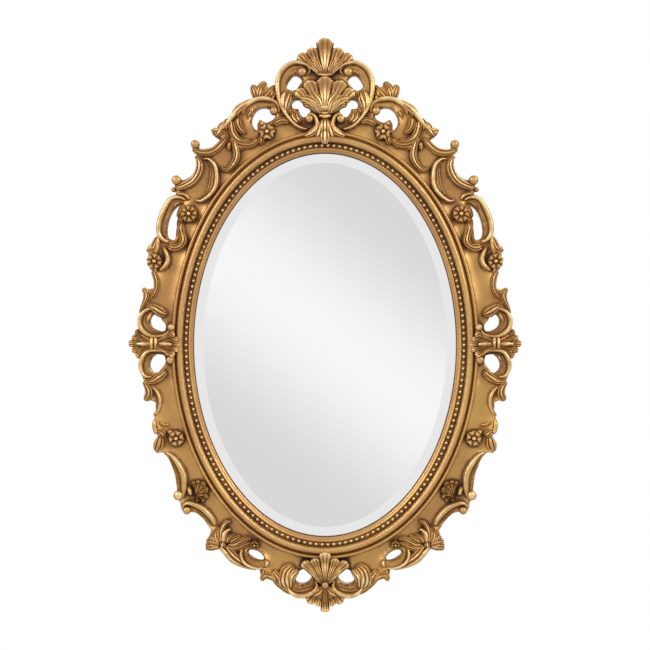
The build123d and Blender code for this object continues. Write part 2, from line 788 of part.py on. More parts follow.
def moulding_section():
    # Offsets count outwards from the sight edge and rises from the front of the board
    def corner(offset, rise):
        return Vector(sight_half_width + offset, front - rise, 0)

    crest = (ridge_start + ridge_end) / 2
    outer_crest = (ridge_end + moulding_width) / 2
    channel_middle = (channel_start + channel_end) / 2
    tongue = glass_front + bevel_slope * bevel_width - tongue_play
    tongue_rise = front - tongue
    tongue_width = board_lip_setback - tongue_play
    wall = moulding_width - 0.4
    edges = [
        Edge.make_line(corner(0, tongue_rise), corner(0, sight_edge_rise)),
        Edge.make_three_point_arc(
            corner(0, sight_edge_rise),
            corner(sight_slope_width / 2, sight_slope_rise * 0.72),
            corner(sight_slope_width, sight_slope_rise),
        ),
        Edge.make_line(corner(sight_slope_width, sight_slope_rise), corner(channel_start, channel_rise + 1)),
        Edge.make_three_point_arc(
            corner(channel_start, channel_rise + 1),
            corner(channel_middle, channel_rise),
            corner(channel_end, channel_rise + 1),
        ),
        Edge.make_line(corner(channel_end, channel_rise + 1), corner(ridge_start, groove_rise)),
        Edge.make_three_point_arc(
            corner(ridge_start, groove_rise), corner(crest, ridge_rise), corner(ridge_end, groove_rise),
        ),
        Edge.make_three_point_arc(
            corner(ridge_end, groove_rise),
            corner(outer_crest, outer_ridge_rise),
            corner(wall, outer_wall_rise),
        ),
        Edge.make_line(corner(wall, outer_wall_rise), corner(moulding_width, 0)),
        Edge.make_line(corner(moulding_width, 0), corner(tongue_width, 0)),
        Edge.make_line(corner(tongue_width, 0), corner(tongue_width, tongue_rise)),
        Edge.make_line(corner(tongue_width, tongue_rise), corner(0, tongue_rise)),
    ]
    return Face(Wire(edges))


def sight_path():
    plane = Plane(origin=(0, 0, 0), x_dir=(1, 0, 0), z_dir=(0, -1, 0))
    return Wire([Edge.make_ellipse(sight_half_width, sight_half_height, plane=plane)])


def sight_moulding():
    return Solid.sweep(moulding_section(), sight_path())


def bead_string():
    ring = oval_at(bead_offset, 0)
    count = round(ring.length / bead_pitch)
    y = front - channel_rise - bead_gap - bead_radius
    beads = []
    for i in range(count):
        point = ring.position_at(i / count)
        beads.append(Solid.make_sphere(bead_radius).moved(Location((point.X, y, point.Z))))
    return Compound(beads)


# Glass and backing board

def mirror_glass():
    edge = glass_front + bevel_depth
    outer = oval_at(glass_edge_offset, glass_back)
    rim = oval_at(glass_edge_offset, edge)
    flat = oval_at(-bevel_width, glass_front)
    return Solid.make_loft([outer, rim, flat], True)


def backing_board():
    return oval_disc(rebate_offset - backing_play, backing_back, backing_thickness)


# Retaining clips and screws

def retaining_clip(angle):
    inner = -clip_riser_play
    tongue = inner - clip_tongue
    sheet = clip_sheet
    low = backing_back
    profile = [
        (tongue, low), (inner, low), (inner, 0), (clip_flange, 0), (clip_flange, sheet),
        (inner - sheet, sheet), (inner - sheet, low + sheet), (tongue, low + sheet),
    ]
    frame = rebate_frame(angle)
    corners = [frame.from_local_coords(Vector(u, -clip_width / 2, v)) for u, v in profile]
    face = Face(Wire.make_polygon(corners, close=True))
    body = Solid.extrude(face, frame.y_dir * clip_width)
    x, z = clip_screw_point(angle)
    hole = rod((x, -1, z), (0, 1, 0), screw_shank_radius + screw_play, sheet + 2)
    return body.cut(hole)


def wood_screw(x, z, seat):
    # A flat-bottomed head on a shank with a pointed end
    head = rod((x, seat, z), (0, 1, 0), screw_head_radius, screw_head_height)
    head = head.fillet(screw_head_height * 0.5, [head.edges().sort_by(Axis.Y)[-1]])
    shank = rod((x, seat, z), (0, -1, 0), screw_shank_radius, screw_length - screw_point)
    tip_plane = Plane(origin=(x, seat - screw_length + screw_point, z), z_dir=(0, -1, 0))
    tip = Solid.make_cone(screw_shank_radius, 0.3, screw_point, plane=tip_plane)
    return head.fuse(shank, tip)


# D-ring hangers

knuckle_y = strap_sheet + ring_play + ring_wire_radius
knuckle_radius = ring_wire_radius + ring_play + strap_sheet


def hanger_strap(x):
    # A strap folded round the straight bar of the ring
    back = -strap_width / 2
    plate = Solid.make_box(strap_width, strap_sheet, strap_length)
    plate = plate.moved(Location((x + back, 0, hanger_z - strap_length)))
    knuckle = rod((x + back, knuckle_y, hanger_z), (1, 0, 0), knuckle_radius, strap_width)
    bore = rod((x + back - 1, knuckle_y, hanger_z), (1, 0, 0), ring_wire_radius + ring_play, strap_width + 2)
    cuts = [bore]
    for sx, sz in strap_screw_points(x):
        cuts.append(rod((sx, -1, sz), (0, 1, 0), screw_shank_radius + screw_play, strap_sheet + 2))
    return plate.fuse(knuckle).cut(*cuts)


def d_ring(x):
    # Straight bar through the knuckle and a bow hanging below it
    half = ring_inner_half_width + ring_wire_radius
    drop = ring_side_drop
    y = knuckle_y

    def corner(dx, dz):
        return Vector(x + dx, y, hanger_z + dz)

    bend = ring_corner_radius
    turn = bend * (1 - cos(radians(45)))
    path = Wire([
        Edge.make_line(corner(0, 0), corner(half - bend, 0)),
        Edge.make_three_point_arc(
            corner(half - bend, 0), corner(half - turn, -turn), corner(half, -bend)
        ),
        Edge.make_line(corner(half, -bend), corner(half, -drop)),
        Edge.make_three_point_arc(
            corner(half, -drop), corner(0, -drop - half), corner(-half, -drop)
        ),
        Edge.make_line(corner(-half, -drop), corner(-half, -bend)),
        Edge.make_three_point_arc(
            corner(-half, -bend), corner(-half + turn, -turn), corner(-half + bend, 0)
        ),
        Edge.make_line(corner(-half + bend, 0), corner(0, 0)),
    ])
    section_plane = Plane(origin=(x, y, hanger_z), z_dir=(1, 0, 0))
    section = Face(Wire([Edge.make_circle(ring_wire_radius, plane=section_plane)]))
    return Solid.sweep(section, path)


def wall_pads():
    pads = []
    for x, z in pad_places:
        for side in (1, -1):
            pad = rod((side * x * spread_x, 0, z * spread_z), (0, 1, 0), pad_radius, pad_thickness)
            rim = pad.edges().sort_by(Axis.Y)[-1]
            pads.append(pad.fillet(1.0, [rim]))
    return Compound(pads)


# Building the ornaments

def oval_face(offset):
    return facing_front(Face(oval_at(offset, 0)))


def near_openings(box):
    near = []
    for points in pierced_openings:
        for side in (1, -1):
            places = [place(side * x, z) for x, z in points]
            xs = [p.X for p in places]
            zs = [p.Z for p in places]
            if boxes_meet(box, (min(xs), max(xs), min(zs), max(zs))):
                near.append((points, side))
    return near


def ornament_layer(pieces, above, openings, level):
    # Plan faces of one step of a casting, clear of the moulding, of the pierced
    # openings and of the castings that lie over it. Each step is a little narrower.
    shrink = step_nesting * level
    height = step_heights[level]
    faces = joined([f for p in pieces for f in contour(p, height)])
    cutters = [hole_face(points, side, shrink) for points, side in openings]
    if height < ridge_rise:
        cutters.append(oval_face(moulding_width + ornament_gap + shrink))
    for piece in above:
        cutters += contour(piece, 0, ornament_gap + shrink)
    faces = trimmed(faces, cutters)
    return [f for f in faces if f.area > smallest_step]


def ornament(pieces, above):
    # One casting in steps, flat on the board
    box = plan_box(pieces)
    over = [p for p in above if boxes_meet(box, plan_box([p]))]
    openings = near_openings(box)
    steps = []
    for level in range(len(step_heights) - 1):
        low = step_heights[level]
        depth = step_heights[level + 1] - low
        for face in ornament_layer(pieces, over, openings, level):
            raised = face.moved(Location((0, front - low, 0)))
            steps.append(Solid.extrude(raised, Vector(0, -depth, 0)))
    body = steps[0]
    if len(steps) > 1:
        with SkipClean():
            body = body.fuse(*steps[1:])
    solids = body.solids()
    seated = [s for s in solids if s.bounding_box().max.Y > front - 0.01]
    kept = [s for s in seated if s.volume > smallest_piece]
    if len(kept) == 1:
        return kept[0]
    return Compound(kept)


# Writing the pieces
save("frame_base", frame_base())
save("sight_moulding", sight_moulding())
save("bead_string", bead_string())
save("mirror_glass", mirror_glass())
save("backing_board", backing_board())
save("retaining_clips", Compound([retaining_clip(a) for a in clip_angles]))
clip_points = [clip_screw_point(a) for a in clip_angles]
save("clip_screws", Compound([wood_screw(x, z, clip_sheet) for x, z in clip_points]))
save("hanger_straps", Compound([hanger_strap(side * hanger_x) for side in (1, -1)]))
strap_points = strap_screw_points(hanger_x) + strap_screw_points(-hanger_x)
save("hanger_screws", Compound([wood_screw(x, z, strap_sheet) for x, z in strap_points]))
save("d_ring_right", d_ring(hanger_x))
save("d_ring_left", d_ring(-hanger_x))
save("wall_pads", wall_pads())


laid = []
for name, pieces in centre_ornaments.items():
    save(name, ornament(pieces, laid))
    laid += pieces
for name, pieces in side_ornaments.items():
    casting = ornament(pieces, laid)
    save(f"{name}_right", casting)
    save(f"{name}_left", mirrored_left(casting))
    laid += pieces
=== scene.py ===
import math

import bmesh
import bpy
import numpy as np
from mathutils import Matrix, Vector
from mathutils.geometry import delaunay_2d_cdt


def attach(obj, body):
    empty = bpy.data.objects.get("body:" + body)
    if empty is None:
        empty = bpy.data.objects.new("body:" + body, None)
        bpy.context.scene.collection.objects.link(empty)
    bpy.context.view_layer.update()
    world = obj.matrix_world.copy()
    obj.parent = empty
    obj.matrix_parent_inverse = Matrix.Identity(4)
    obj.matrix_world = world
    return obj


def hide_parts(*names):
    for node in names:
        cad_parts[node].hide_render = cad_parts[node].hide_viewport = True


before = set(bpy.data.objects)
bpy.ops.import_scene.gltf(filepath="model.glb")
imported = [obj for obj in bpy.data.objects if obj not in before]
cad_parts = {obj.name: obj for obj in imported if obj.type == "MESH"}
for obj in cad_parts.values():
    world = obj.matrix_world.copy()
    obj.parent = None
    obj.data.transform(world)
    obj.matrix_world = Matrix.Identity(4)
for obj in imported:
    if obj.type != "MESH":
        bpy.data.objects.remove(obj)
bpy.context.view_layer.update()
print("frame loaded,", len(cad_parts), "parts")

mm = 0.001
opening = {
    "halfWidth": 212.0,  # sight opening
    "halfHeight": 309.0,
    "boardFront": -16.0,  # Y of the board's front face
    "mouldingWidth": 35.0,
}


# Lines and numbers
lineLook = {"samples": 16, "evenShare": 0.55, "endShare": 0.45}


def smoothLine(points, step):
    # Catmull-Rom curve through the points, evenly resampled
    p = np.array(points, float)
    if len(p) == 2:
        p = np.array([p[0], (p[0] + p[1]) / 2, p[1]])
    ends = np.vstack([2 * p[0] - p[1], p, 2 * p[-1] - p[-2]])
    u = np.linspace(0, 1, lineLook["samples"], endpoint=False)[:, None]
    runs = []
    for i in range(len(p) - 1):
        a, b, c, d = ends[i:i + 4]
        runs.append(0.5 * (2 * b + (c - a) * u + (2 * a - 5 * b + 4 * c - d) * u ** 2
                           + (3 * b - a - 3 * c + d) * u ** 3))
    fine = np.vstack(runs + [p[-1:]])
    along = np.concatenate([[0], np.cumsum(np.linalg.norm(np.diff(fine, axis=0), axis=1))])
    count = max(8, int(along[-1] / step))
    t = 0.5 - 0.5 * np.cos(np.linspace(0, math.pi, count + 1))
    # Closer sections near the ends
    t = lineLook["evenShare"] * np.linspace(0, 1, count + 1) + lineLook["endShare"] * t
    where = t * along[-1]
    line = np.column_stack([np.interp(where, along, fine[:, k]) for k in (0, 1)])
    return line, t, along[-1]


def spreadValues(values, t):
    v = np.atleast_1d(np.array(values, float))
    if len(v) == 1:
        return np.full(len(t), v[0])
    fine = np.linspace(0, 1, 121)
    rough = np.interp(fine, np.linspace(0, 1, len(v)), v)
    span = np.hanning(15)
    padded = np.pad(rough, 7, mode="edge")
    soft = np.convolve(padded, span / span.sum(), mode="valid")
    return np.interp(t, fine, soft)


def ovalOffset(x, z):
    # Distance outwards from the sight edge
    a, b = opening["halfWidth"], opening["halfHeight"]
    d = np.zeros_like(x, dtype=float)
    for _ in range(7):
        f = (x / (a + d)) ** 2 + (z / (b + d)) ** 2 - 1
        slope = -2 * (x ** 2 / (a + d) ** 3 + z ** 2 / (b + d) ** 3) - 1e-9
        d = np.clip(d - f / slope, -150, 400)
    return d


# Carved shapes
# Every carving is a closed skin over the board. A point is x and z in millimetres, its rise over the
# board's front and how much it is darkened as lying in a groove: patina and painted shade.

class Carving:
    def __init__(self):
        self.points = []
        self.faces = []

    def grid(self, x, z, rise, groove=None):
        # A strip of sections, closed along its back and at both ends
        rows, cols = x.shape
        start = len(self.points)
        groove = np.zeros_like(x) if groove is None else groove
        self.points += list(zip(x.ravel(), z.ravel(), rise.ravel(), groove.ravel()))
        k = np.arange(rows - 1)[:, None] * cols + np.arange(cols - 1)[None, :] + start
        self.faces += np.stack([k, k + 1, k + cols + 1, k + cols], -1).reshape(-1, 4).tolist()
        for r in range(rows - 1):
            a = start + r * cols
            self.faces.append([a + cols - 1, a, a + cols, a + 2 * cols - 1])
        self.faces.append(list(range(start + cols - 1, start - 1, -1)))
        last = start + (rows - 1) * cols
        self.faces.append(list(range(last, last + cols)))

    def mirrored(self):
        other = Carving()
        other.points = [(-x, z, r, g) for x, z, r, g in self.points]
        other.faces = [f[::-1] for f in self.faces]
        return other


def sectionAcross(kind, left, right, flutes):
    # Offsets across a stroke, negative to the left, with each one's share of the rise and its groove value,
    # how much it is darkened: patina and painted shade in the grooves and at the foot
    if kind == "cove":  # a round rim on the line and a hollow down to the inner side
        rim = min(5.4, right * 0.4)
        hollow = right - rim
        return np.array([
            [-left, 0, 0], [-left, 0.3, 0], [-left * 0.95, 0.54, 0], [-left * 0.8, 0.77, 0],
            [-left * 0.56, 0.92, 0], [-left * 0.28, 0.99, 0], [0, 1, 0], [rim * 0.3, 0.98, 0],
            [rim * 0.6, 0.91, 0], [rim * 0.84, 0.8, 0.1], [rim, 0.66, 0.7],
            [rim + hollow * 0.05, 0.57, 1], [rim + hollow * 0.16, 0.51, 0.6],
            [rim + hollow * 0.34, 0.46, 0.15], [rim + hollow * 0.55, 0.46, 0], [rim + hollow * 0.75, 0.5, 0], [rim + hollow * 0.88, 0.56, 0],
            [rim + hollow * 0.96, 0.55, 0], [right, 0.46, 0.1], [right, 0.2, 0.5], [right, 0, 1],
        ])
    if kind == "dish":  # raised rims round a shallow hollow
        v = np.array([-1, -1, -0.97, -0.88, -0.74, -0.56, -0.36, -0.12, 0])
        h = np.array([0, 0.5, 0.78, 0.95, 1, 0.93, 0.84, 0.78, 0.72])
        g = np.array([1, 0.6, 0, 0, 0, 0.1, 0.2, 0.4, 0.9])
        v, h, g = (np.concatenate([k, sign * k[-2::-1]]) for k, sign in ((v, -1), (h, 1), (g, 1)))
        return np.column_stack([np.where(v < 0, v * left, v * right), h, g])
    count = 13 if flutes < 2 else 6 * flutes + 1
    even = np.linspace(-1, 1, count)
    v = 0.3 * np.sin(even * math.pi / 2) + 0.7 * even
    h = 0.42 + 0.58 * np.sqrt(np.clip(1 - v ** 2, 0, 1))
    g = np.zeros(count)
    if flutes > 1:  # rounded ribs with narrow grooves between them
        part = (even + 1) / 2 * flutes
        rib = np.abs(np.sin(part * math.pi)) ** 0.55
        inner = np.clip((1 - np.abs(even)) * flutes, 0, 1)  # the outer edges are not grooves
        g = (1 - rib) * inner
        h = h * (1 - 0.22 * g)
        g = np.clip(g * 0.85, 0, 1)
    v = np.concatenate([[-1], v, [1]])
    h = np.concatenate([[0], h, [0]])
    g = np.concatenate([[1], g, [1]])
    return np.column_stack([np.where(v < 0, v * left, v * right), h, g])


def addStroke(carving, line, left, right, rise, kind="dome", flutes=1):
    path, t, length = smoothLine(line, 1.5)
    tangent = np.gradient(path, axis=0)
    tangent /= np.linalg.norm(tangent, axis=1)[:, None] + 1e-9
    across = np.column_stack([tangent[:, 1], -tangent[:, 0]])
    wl, wr, top = spreadValues(left, t), spreadValues(right, t), spreadValues(rise, t)
    reach = np.minimum(t, 1 - t) * length
    cap = np.clip(reach / np.maximum((wl + wr) * 0.5, 0.5), 0, 1)
    cap = np.sqrt(1 - (1 - cap) ** 2)
    xs, zs, hs, gs = [], [], [], []
    for i in range(len(t)):
        s = sectionAcross(kind, wl[i], wr[i], flutes)
        offset = s[:, 0] * max(cap[i], 0.05)
        xs.append(path[i, 0] + across[i, 0] * offset)
        zs.append(path[i, 1] + across[i, 1] * offset)
        hs.append(s[:, 1] * top[i] * (0.45 + 0.55 * cap[i]))
        gs.append(s[:, 2])
    carving.grid(np.array(xs), np.array(zs), np.array(hs), np.array(gs))


def addBall(carving, x, z, radius, rise):
    # A round boss on a stalk, darker towards its foot: patina and painted shade
    n = 20
    angles = np.linspace(0, 2 * math.pi, n + 1)[::-1]
    share = np.array([0, 0.35, 0.6, 0.8, 0.93, 1, 1])
    high = min(radius, rise * 0.7)
    top = np.sqrt(np.clip(1 - share ** 2, 0, 1)) * high + rise - high
    top[-1] = 0
    start = len(carving.points)
    carving.points.append((x, z, top[0], 0.15))
    for s, h in zip(share[1:], top[1:]):
        for a in angles[:-1]:
            out = radius * s
            carving.points.append((x + out * math.cos(a), z + out * math.sin(a), h, 0.15 + 0.3 * s))
    for i in range(n):
        j = (i + 1) % n
        carving.faces.append([start, start + 1 + i, start + 1 + j])
        for k in range(len(share) - 2):
            a = start + 1 + k * n
            carving.faces.append([a + i, a + n + i, a + n + j, a + j])
    low = start + 1 + (len(share) - 2) * n
    carving.faces.append([low + i for i in range(n)][::-1])


shellLook = {
    "samples": 17,  # across each lobe
    "flutes": 3,
    "scallop": 0.52,  # how far a notch reaches into the lobe's round end
    "flare": 0.42,
    "flareCurve": 1.6,
    "bowlAt": 0.74,
    "bowlWidth": 0.13,
    # how much the bowl before the lip is darkened: patina and painted shade
    "bowlShadeAndPatina": 0.38,
    "lip": 0.07,
    "steps": (0, 0.04, 0.1, 0.18, 0.27, 0.36, 0.45, 0.54, 0.62, 0.7, 0.77, 0.83, 0.88,
              0.92, 0.95, 0.975, 0.99, 1, 1),
}


def lobeAngles(lobes):
    # Directions across all lobes, each with its lobe, its angle from the lobe's middle and the nearer bound
    angles, owner = [], []
    for k, (middle, reach, radius, spread) in enumerate(lobes):
        low, high = -spread, spread
        if k > 0:
            before, beforeSpread = lobes[k - 1][0], lobes[k - 1][3]
            low = (before + beforeSpread * (middle - before) / (beforeSpread + spread)) - middle
        if k < len(lobes) - 1:
            after, afterSpread = lobes[k + 1][0], lobes[k + 1][3]
            high = (after - afterSpread * (after - middle) / (afterSpread + spread)) - middle
        for share in np.linspace(0, 1, shellLook["samples"]):
            bend = 0.5 - 0.5 * math.cos(share * math.pi)
            side = 0.6 * share + 0.4 * bend
            angles.append(middle + low + (high - low) * side)
            owner.append((k, low + (high - low) * side, low if side < 0.5 else high))
    return angles, owner


def addFan(carving, hub, tips, waist, rises):
    # A scalloped shell: ribbed lobes that spread from the hub, hollow before their raised lip
    lobes = []
    for x, z, radius in tips:
        reach = math.hypot(x - hub[0], z - hub[1])
        spread = math.asin(min(0.95, radius / reach))
        lobes.append((math.atan2(x - hub[0], z - hub[1]), reach, radius, spread))
    turn = math.atan2(sum(math.sin(l[0]) for l in lobes), sum(math.cos(l[0]) for l in lobes))
    lobes = sorted([((l[0] - turn + math.pi) % (2 * math.pi) - math.pi, *l[1:]) for l in lobes])
    angles, owner = lobeAngles(lobes)
    steps = np.array(shellLook["steps"])
    table = np.interp(steps, np.linspace(0, 1, len(rises)), rises)
    fade = np.clip(1.3 - steps * 0.7, 0.3, 1)
    bowl = np.exp(-((steps - shellLook["bowlAt"]) / shellLook["bowlWidth"]) ** 2)
    lip = np.clip((1 - steps) / shellLook["lip"], 0, 1)
    flare = 1 - shellLook["flare"] * (1 - steps) ** shellLook["flareCurve"]  # the ribs spread as they rise
    xs, zs, hs, gs = [], [], [], []
    for angle, (k, off, bound) in zip(angles, owner):
        middle, reach, radius, spread = lobes[k]
        sine = min(1.0, abs(off) / max(spread, 1e-6))
        end = reach + radius * max(math.sqrt(max(0.0, 1 - sine ** 2)), shellLook["scallop"])
        size = waist + (end - waist) * steps
        across = off / max(abs(bound), 1e-6)
        crown = math.sqrt(max(0.0, 1 - 0.92 * across ** 2))
        rib = abs(math.cos(across * math.pi * shellLook["flutes"] / 2)) ** 0.6
        notch = math.sqrt(max(0.0, 1 - crown))
        lift = table * (0.87 + 0.13 * crown) * (1 - 0.2 * (1 - rib) * fade)
        lift = lift * (0.5 + 0.5 * np.sqrt(1 - (1 - lip) ** 2))
        lift[-1] = 0
        direction = turn + angle * flare
        xs.append(hub[0] + np.sin(direction) * size)
        zs.append(hub[1] + np.cos(direction) * size)
        hs.append(lift)
        # Grooves, notches and the bowl before the lip are darkened: patina and painted shade
        gs.append(np.clip((1 - rib) * fade * 0.95 + notch * 0.35 + bowl * shellLook["bowlShadeAndPatina"], 0, 1))
    x, z, rise, deep = (np.array(v)[::-1] for v in (xs, zs, hs, gs))
    none = np.zeros((len(x), 1))
    rise, deep = np.hstack([none, rise]), np.hstack([none, deep])
    carving.grid(np.hstack([x[:, :1], x]), np.hstack([z[:, :1], z]), rise, deep)


def addFlower(carving, x, z, radius, petals, rise):
    for i in range(petals):
        angle = 2 * math.pi * i / petals + 0.3
        c, s = math.cos(angle), math.sin(angle)
        wide = min(radius * 0.5, radius * math.sin(math.pi / petals) * 1.04)
        start = (x + c * radius * 0.1, z + s * radius * 0.1)
        end = (x + c * radius, z + s * radius)
        widths = (wide * 0.35, wide * 0.85, wide)
        lift = rise * (0.97 if i % 2 else 1.0)
        addStroke(carving, [start, end], widths, widths, (lift * 0.72, lift * 0.9, lift * 0.84), "dish")
    addBall(carving, x, z, radius * 0.22, rise * 1.02)


# What the carvings are made of, in millimetres on the right half, as in the solids
def stroke(line, left, right, rise, kind="", flutes=0):
    return {"line": line, "left": left, "right": right, "rise": rise, "kind": kind, "flutes": flutes}


def even(line, halfWidth, rise, kind="leaf", flutes=3):
    return stroke(line, halfWidth, halfWidth, rise, kind, flutes)


def ball(x, z, radius, rise):
    return {"ball": (x, z), "radius": radius, "rise": rise}


def fan(hub, tips, waist, hubRise, tipRise):
    return [{"fan": hub, "tips": tips, "waist": waist, "rises": (hubRise, tipRise)}]


def flower(x, z, radius, petals, rise):
    return [{"flower": (x, z), "radius": radius, "petals": petals, "rise": rise}]


def mirrored(pieces):
    # Adds the left half of everything that isn't on the middle line
    both = []
    for piece in pieces:
        both.append(piece)
        if "ball" in piece and piece["ball"][0] > 0:
            both.append({**piece, "ball": (-piece["ball"][0], piece["ball"][1])})
        elif "fan" in piece:
            piece["tips"] = [tip for x, z, r in piece["tips"] for tip in sorted({(x, z, r), (-x, z, r)})]
        elif "line" in piece and min(x for x, z in piece["line"]) >= 0 and piece["line"][-1][0] > 0:
            line = [(-x, z) for x, z in piece["line"]]
            both.append({**piece, "line": line, "left": piece["right"], "right": piece["left"]})
    return both


# Centre ornaments, drawn on the right half and mirrored
centreOrnaments = {}

centreOrnaments["crest_shell"] = mirrored(
    fan((0, 350), [(0, 419, 11.5), (24, 413, 11), (39, 402, 9.5)], 22, 22, 26)
    + [
        even([(7, 371), (15, 380), (25, 385.5), (36, 386)], (5, 7, 6, 3.5), (19, 21, 19, 15)),
        even([(9, 376), (17, 387), (27, 393), (41, 395)], (4, 6, 7, 5), (21, 24, 23, 19)),
        even([(4, 378), (9, 392), (20, 405)], (5, 6, 3.5), (25, 28, 25)),
        even([(0, 371), (0, 379), (0, 389)], (12, 13, 8), (22, 27, 21), "dome", 1),
        even([(-11, 368), (0, 365.5), (11, 368)], (3, 3.4, 3), (17, 24, 17)),
        even([(-9, 372.5), (0, 370.5), (9, 372.5)], (2, 2.6, 2), (17, 24, 17)),
    ]
)

centreOrnaments["crest_stem"] = mirrored([
    even([(0, 364), (0, 350), (0, 334)], (11, 10, 9), (19, 24, 22), flutes=5),
    even([(0, 346), (0, 333), (0, 321)], (6, 7.5, 6), (23, 25, 22)),
    even([(6, 356), (9, 342), (14, 330)], (5, 6.5, 6), (22, 23, 19)),
    even([(9, 358), (13, 347), (22, 339), (34, 334)], (4, 5.5, 5.5, 3.5), (20, 22, 21, 18)),
    stroke(
        [(28, 366.5), (22, 369.5), (16.5, 366), (13.5, 359), (13, 352), (16, 346), (22, 341.5), (29, 339)],
        (3, 3.5, 3.5, 3.5, 3, 2), (3, 3.5, 4, 5, 5, 3), (15, 19, 20, 20, 20, 18), "dome", 1,
    ),
    ball(25, 362, 4.8, 19),
])

centreOrnaments["crest_palmette"] = mirrored(
    fan((0, 408), [(0, 479, 12.5), (21, 467, 9), (36, 459, 9)], 24, 17, 22)
    + [
        even([(9, 436), (15, 446), (26, 453), (42, 456)], (5, 6, 5.5, 4), (18, 20, 17, 14)),
        even([(-12, 433.5), (0, 431.5), (12, 433.5)], (3, 3.4, 3), (18, 23, 18), "dome", 1),
    ]
)

centreOrnaments["bottom_shell"] = mirrored(
    fan((0, -400), [(0, -341.5, 11), (15.5, -349, 8.5), (29.5, -352.5, 8.5)], 20, 22, 26)
    + [
        even([(7, -380), (15, -368), (27, -359)], (4, 5.5, 4), (21, 23, 19)),
        ball(0, -384, 4.4, 23),
    ]
)

centreOrnaments["bottom_pendant"] = mirrored(
    fan((0, -366), [(0, -417, 10.5), (10, -411, 7.5), (22.5, -407, 8)], 21, 18, 22)
    + [
        even([(3, -388), (9, -397), (20, -402)], (3.8, 4.6, 3), (20, 22, 18)),
    ]
)

# Side ornaments of the right half, the uppermost ones first
sideOrnaments = {}

sideOrnaments["crest_flower"] = flower(93, 341.5, 13, 5, 24) + [
    even([(98, 350), (102, 356), (105, 361)], (4, 4, 1.5), (16, 16, 10)),
]

sideOrnaments["loop_flower"] = flower(218, 210, 13.5, 8, 24) + [
    even([(226, 202), (231, 200), (236, 197)], (5, 4, 2), (16, 15, 10)),
    even(
        [(228, 197), (231, 188), (229, 178), (227, 168), (232, 159), (243, 156), (253, 160)],
        (3, 6, 5, 6, 5, 6, 4), (14, 18, 16, 18, 16, 16, 12),
    ),
]

sideOrnaments["side_flower"] = flower(273, 134, 12.5, 7, 24) + [
    even(
        [(260, 158), (255, 150), (252, 141), (252, 134), (255, 128), (260, 123), (266, 119)],
        (2, 3.5, 4, 4, 3), (12, 18, 18, 18, 14),
    ),
    even([(272, 124), (270, 113)], (4, 2), (16, 10)),
]

sideOrnaments["side_palmette"] = (
    fan((291, 2), [(245, 16, 6), (240, 9, 6), (236.5, 1, 6), (239, -7, 6), (245, -14, 6)], 17, 22, 24)
    + fan((259, 2), [(299, 20, 6), (304, 11, 6), (308, 2.5, 7), (304, -8, 6), (298, -16, 6)], 16, 21, 17)
    + [
        even([(268, 2), (256, 2), (244, 1)], (3.5, 4, 2.5), (23, 25, 22)),
        even([(279, 2), (291, 2), (303, 2)], (3.5, 4, 2.5), (21, 22, 17)),
        even([(271, -8), (270.5, 3), (271, 14)], (3, 3.6, 3), (20, 26, 20)),
        even([(277, -8), (277.5, 3), (277, 14)], (3, 3.6, 3), (20, 26, 20)),
    ]
)

sideOrnaments["lower_flower"] = flower(238, -149.5, 12.5, 6, 24) + [
    even([(245, -142), (249, -139), (253, -136)], (4, 4, 1.5), (16, 14, 8)),
]

sideOrnaments["lower_shell"] = (
    fan(
        (208, -240),
        [
            (191, -242, 3.5), (190.5, -231, 4), (195, -223, 4), (203, -221, 4),
            (210, -222, 3.5), (196, -247, 3.5), (204, -247, 3),
        ],
        2.5, 20, 20,
    )
    + [even([(214, -241), (217, -233), (219, -226)], (3, 4, 2.5), (18, 18, 14))]
)

sideOrnaments["shoulder_cartouche"] = [
    stroke(
        [
            (196, 296), (190, 298), (183, 295), (177, 288), (174, 279), (173, 268),
            (174, 257), (178, 248), (184, 241), (192, 235), (200, 231), (208, 233),
        ],
        (3, 6, 9, 12, 12, 9, 5, 3), (3, 4, 4, 4, 4, 4, 4, 3), (12, 18, 18, 18, 18, 18, 18, 14),
    ),
    stroke(
        [
            (209, 302), (204, 299), (201, 289), (202, 281), (205, 273), (210, 265),
            (217, 259), (225, 254.5), (233, 252), (241, 253),
        ],
        (2, 5, 6, 6, 7, 7, 8, 3), (2, 5, 8, 8, 7, 6, 5, 3), (12, 22, 22, 22, 22, 22, 20, 16),
    ),
    ball(238, 264, 6, 20),
    ball(243, 249, 3, 12),
]

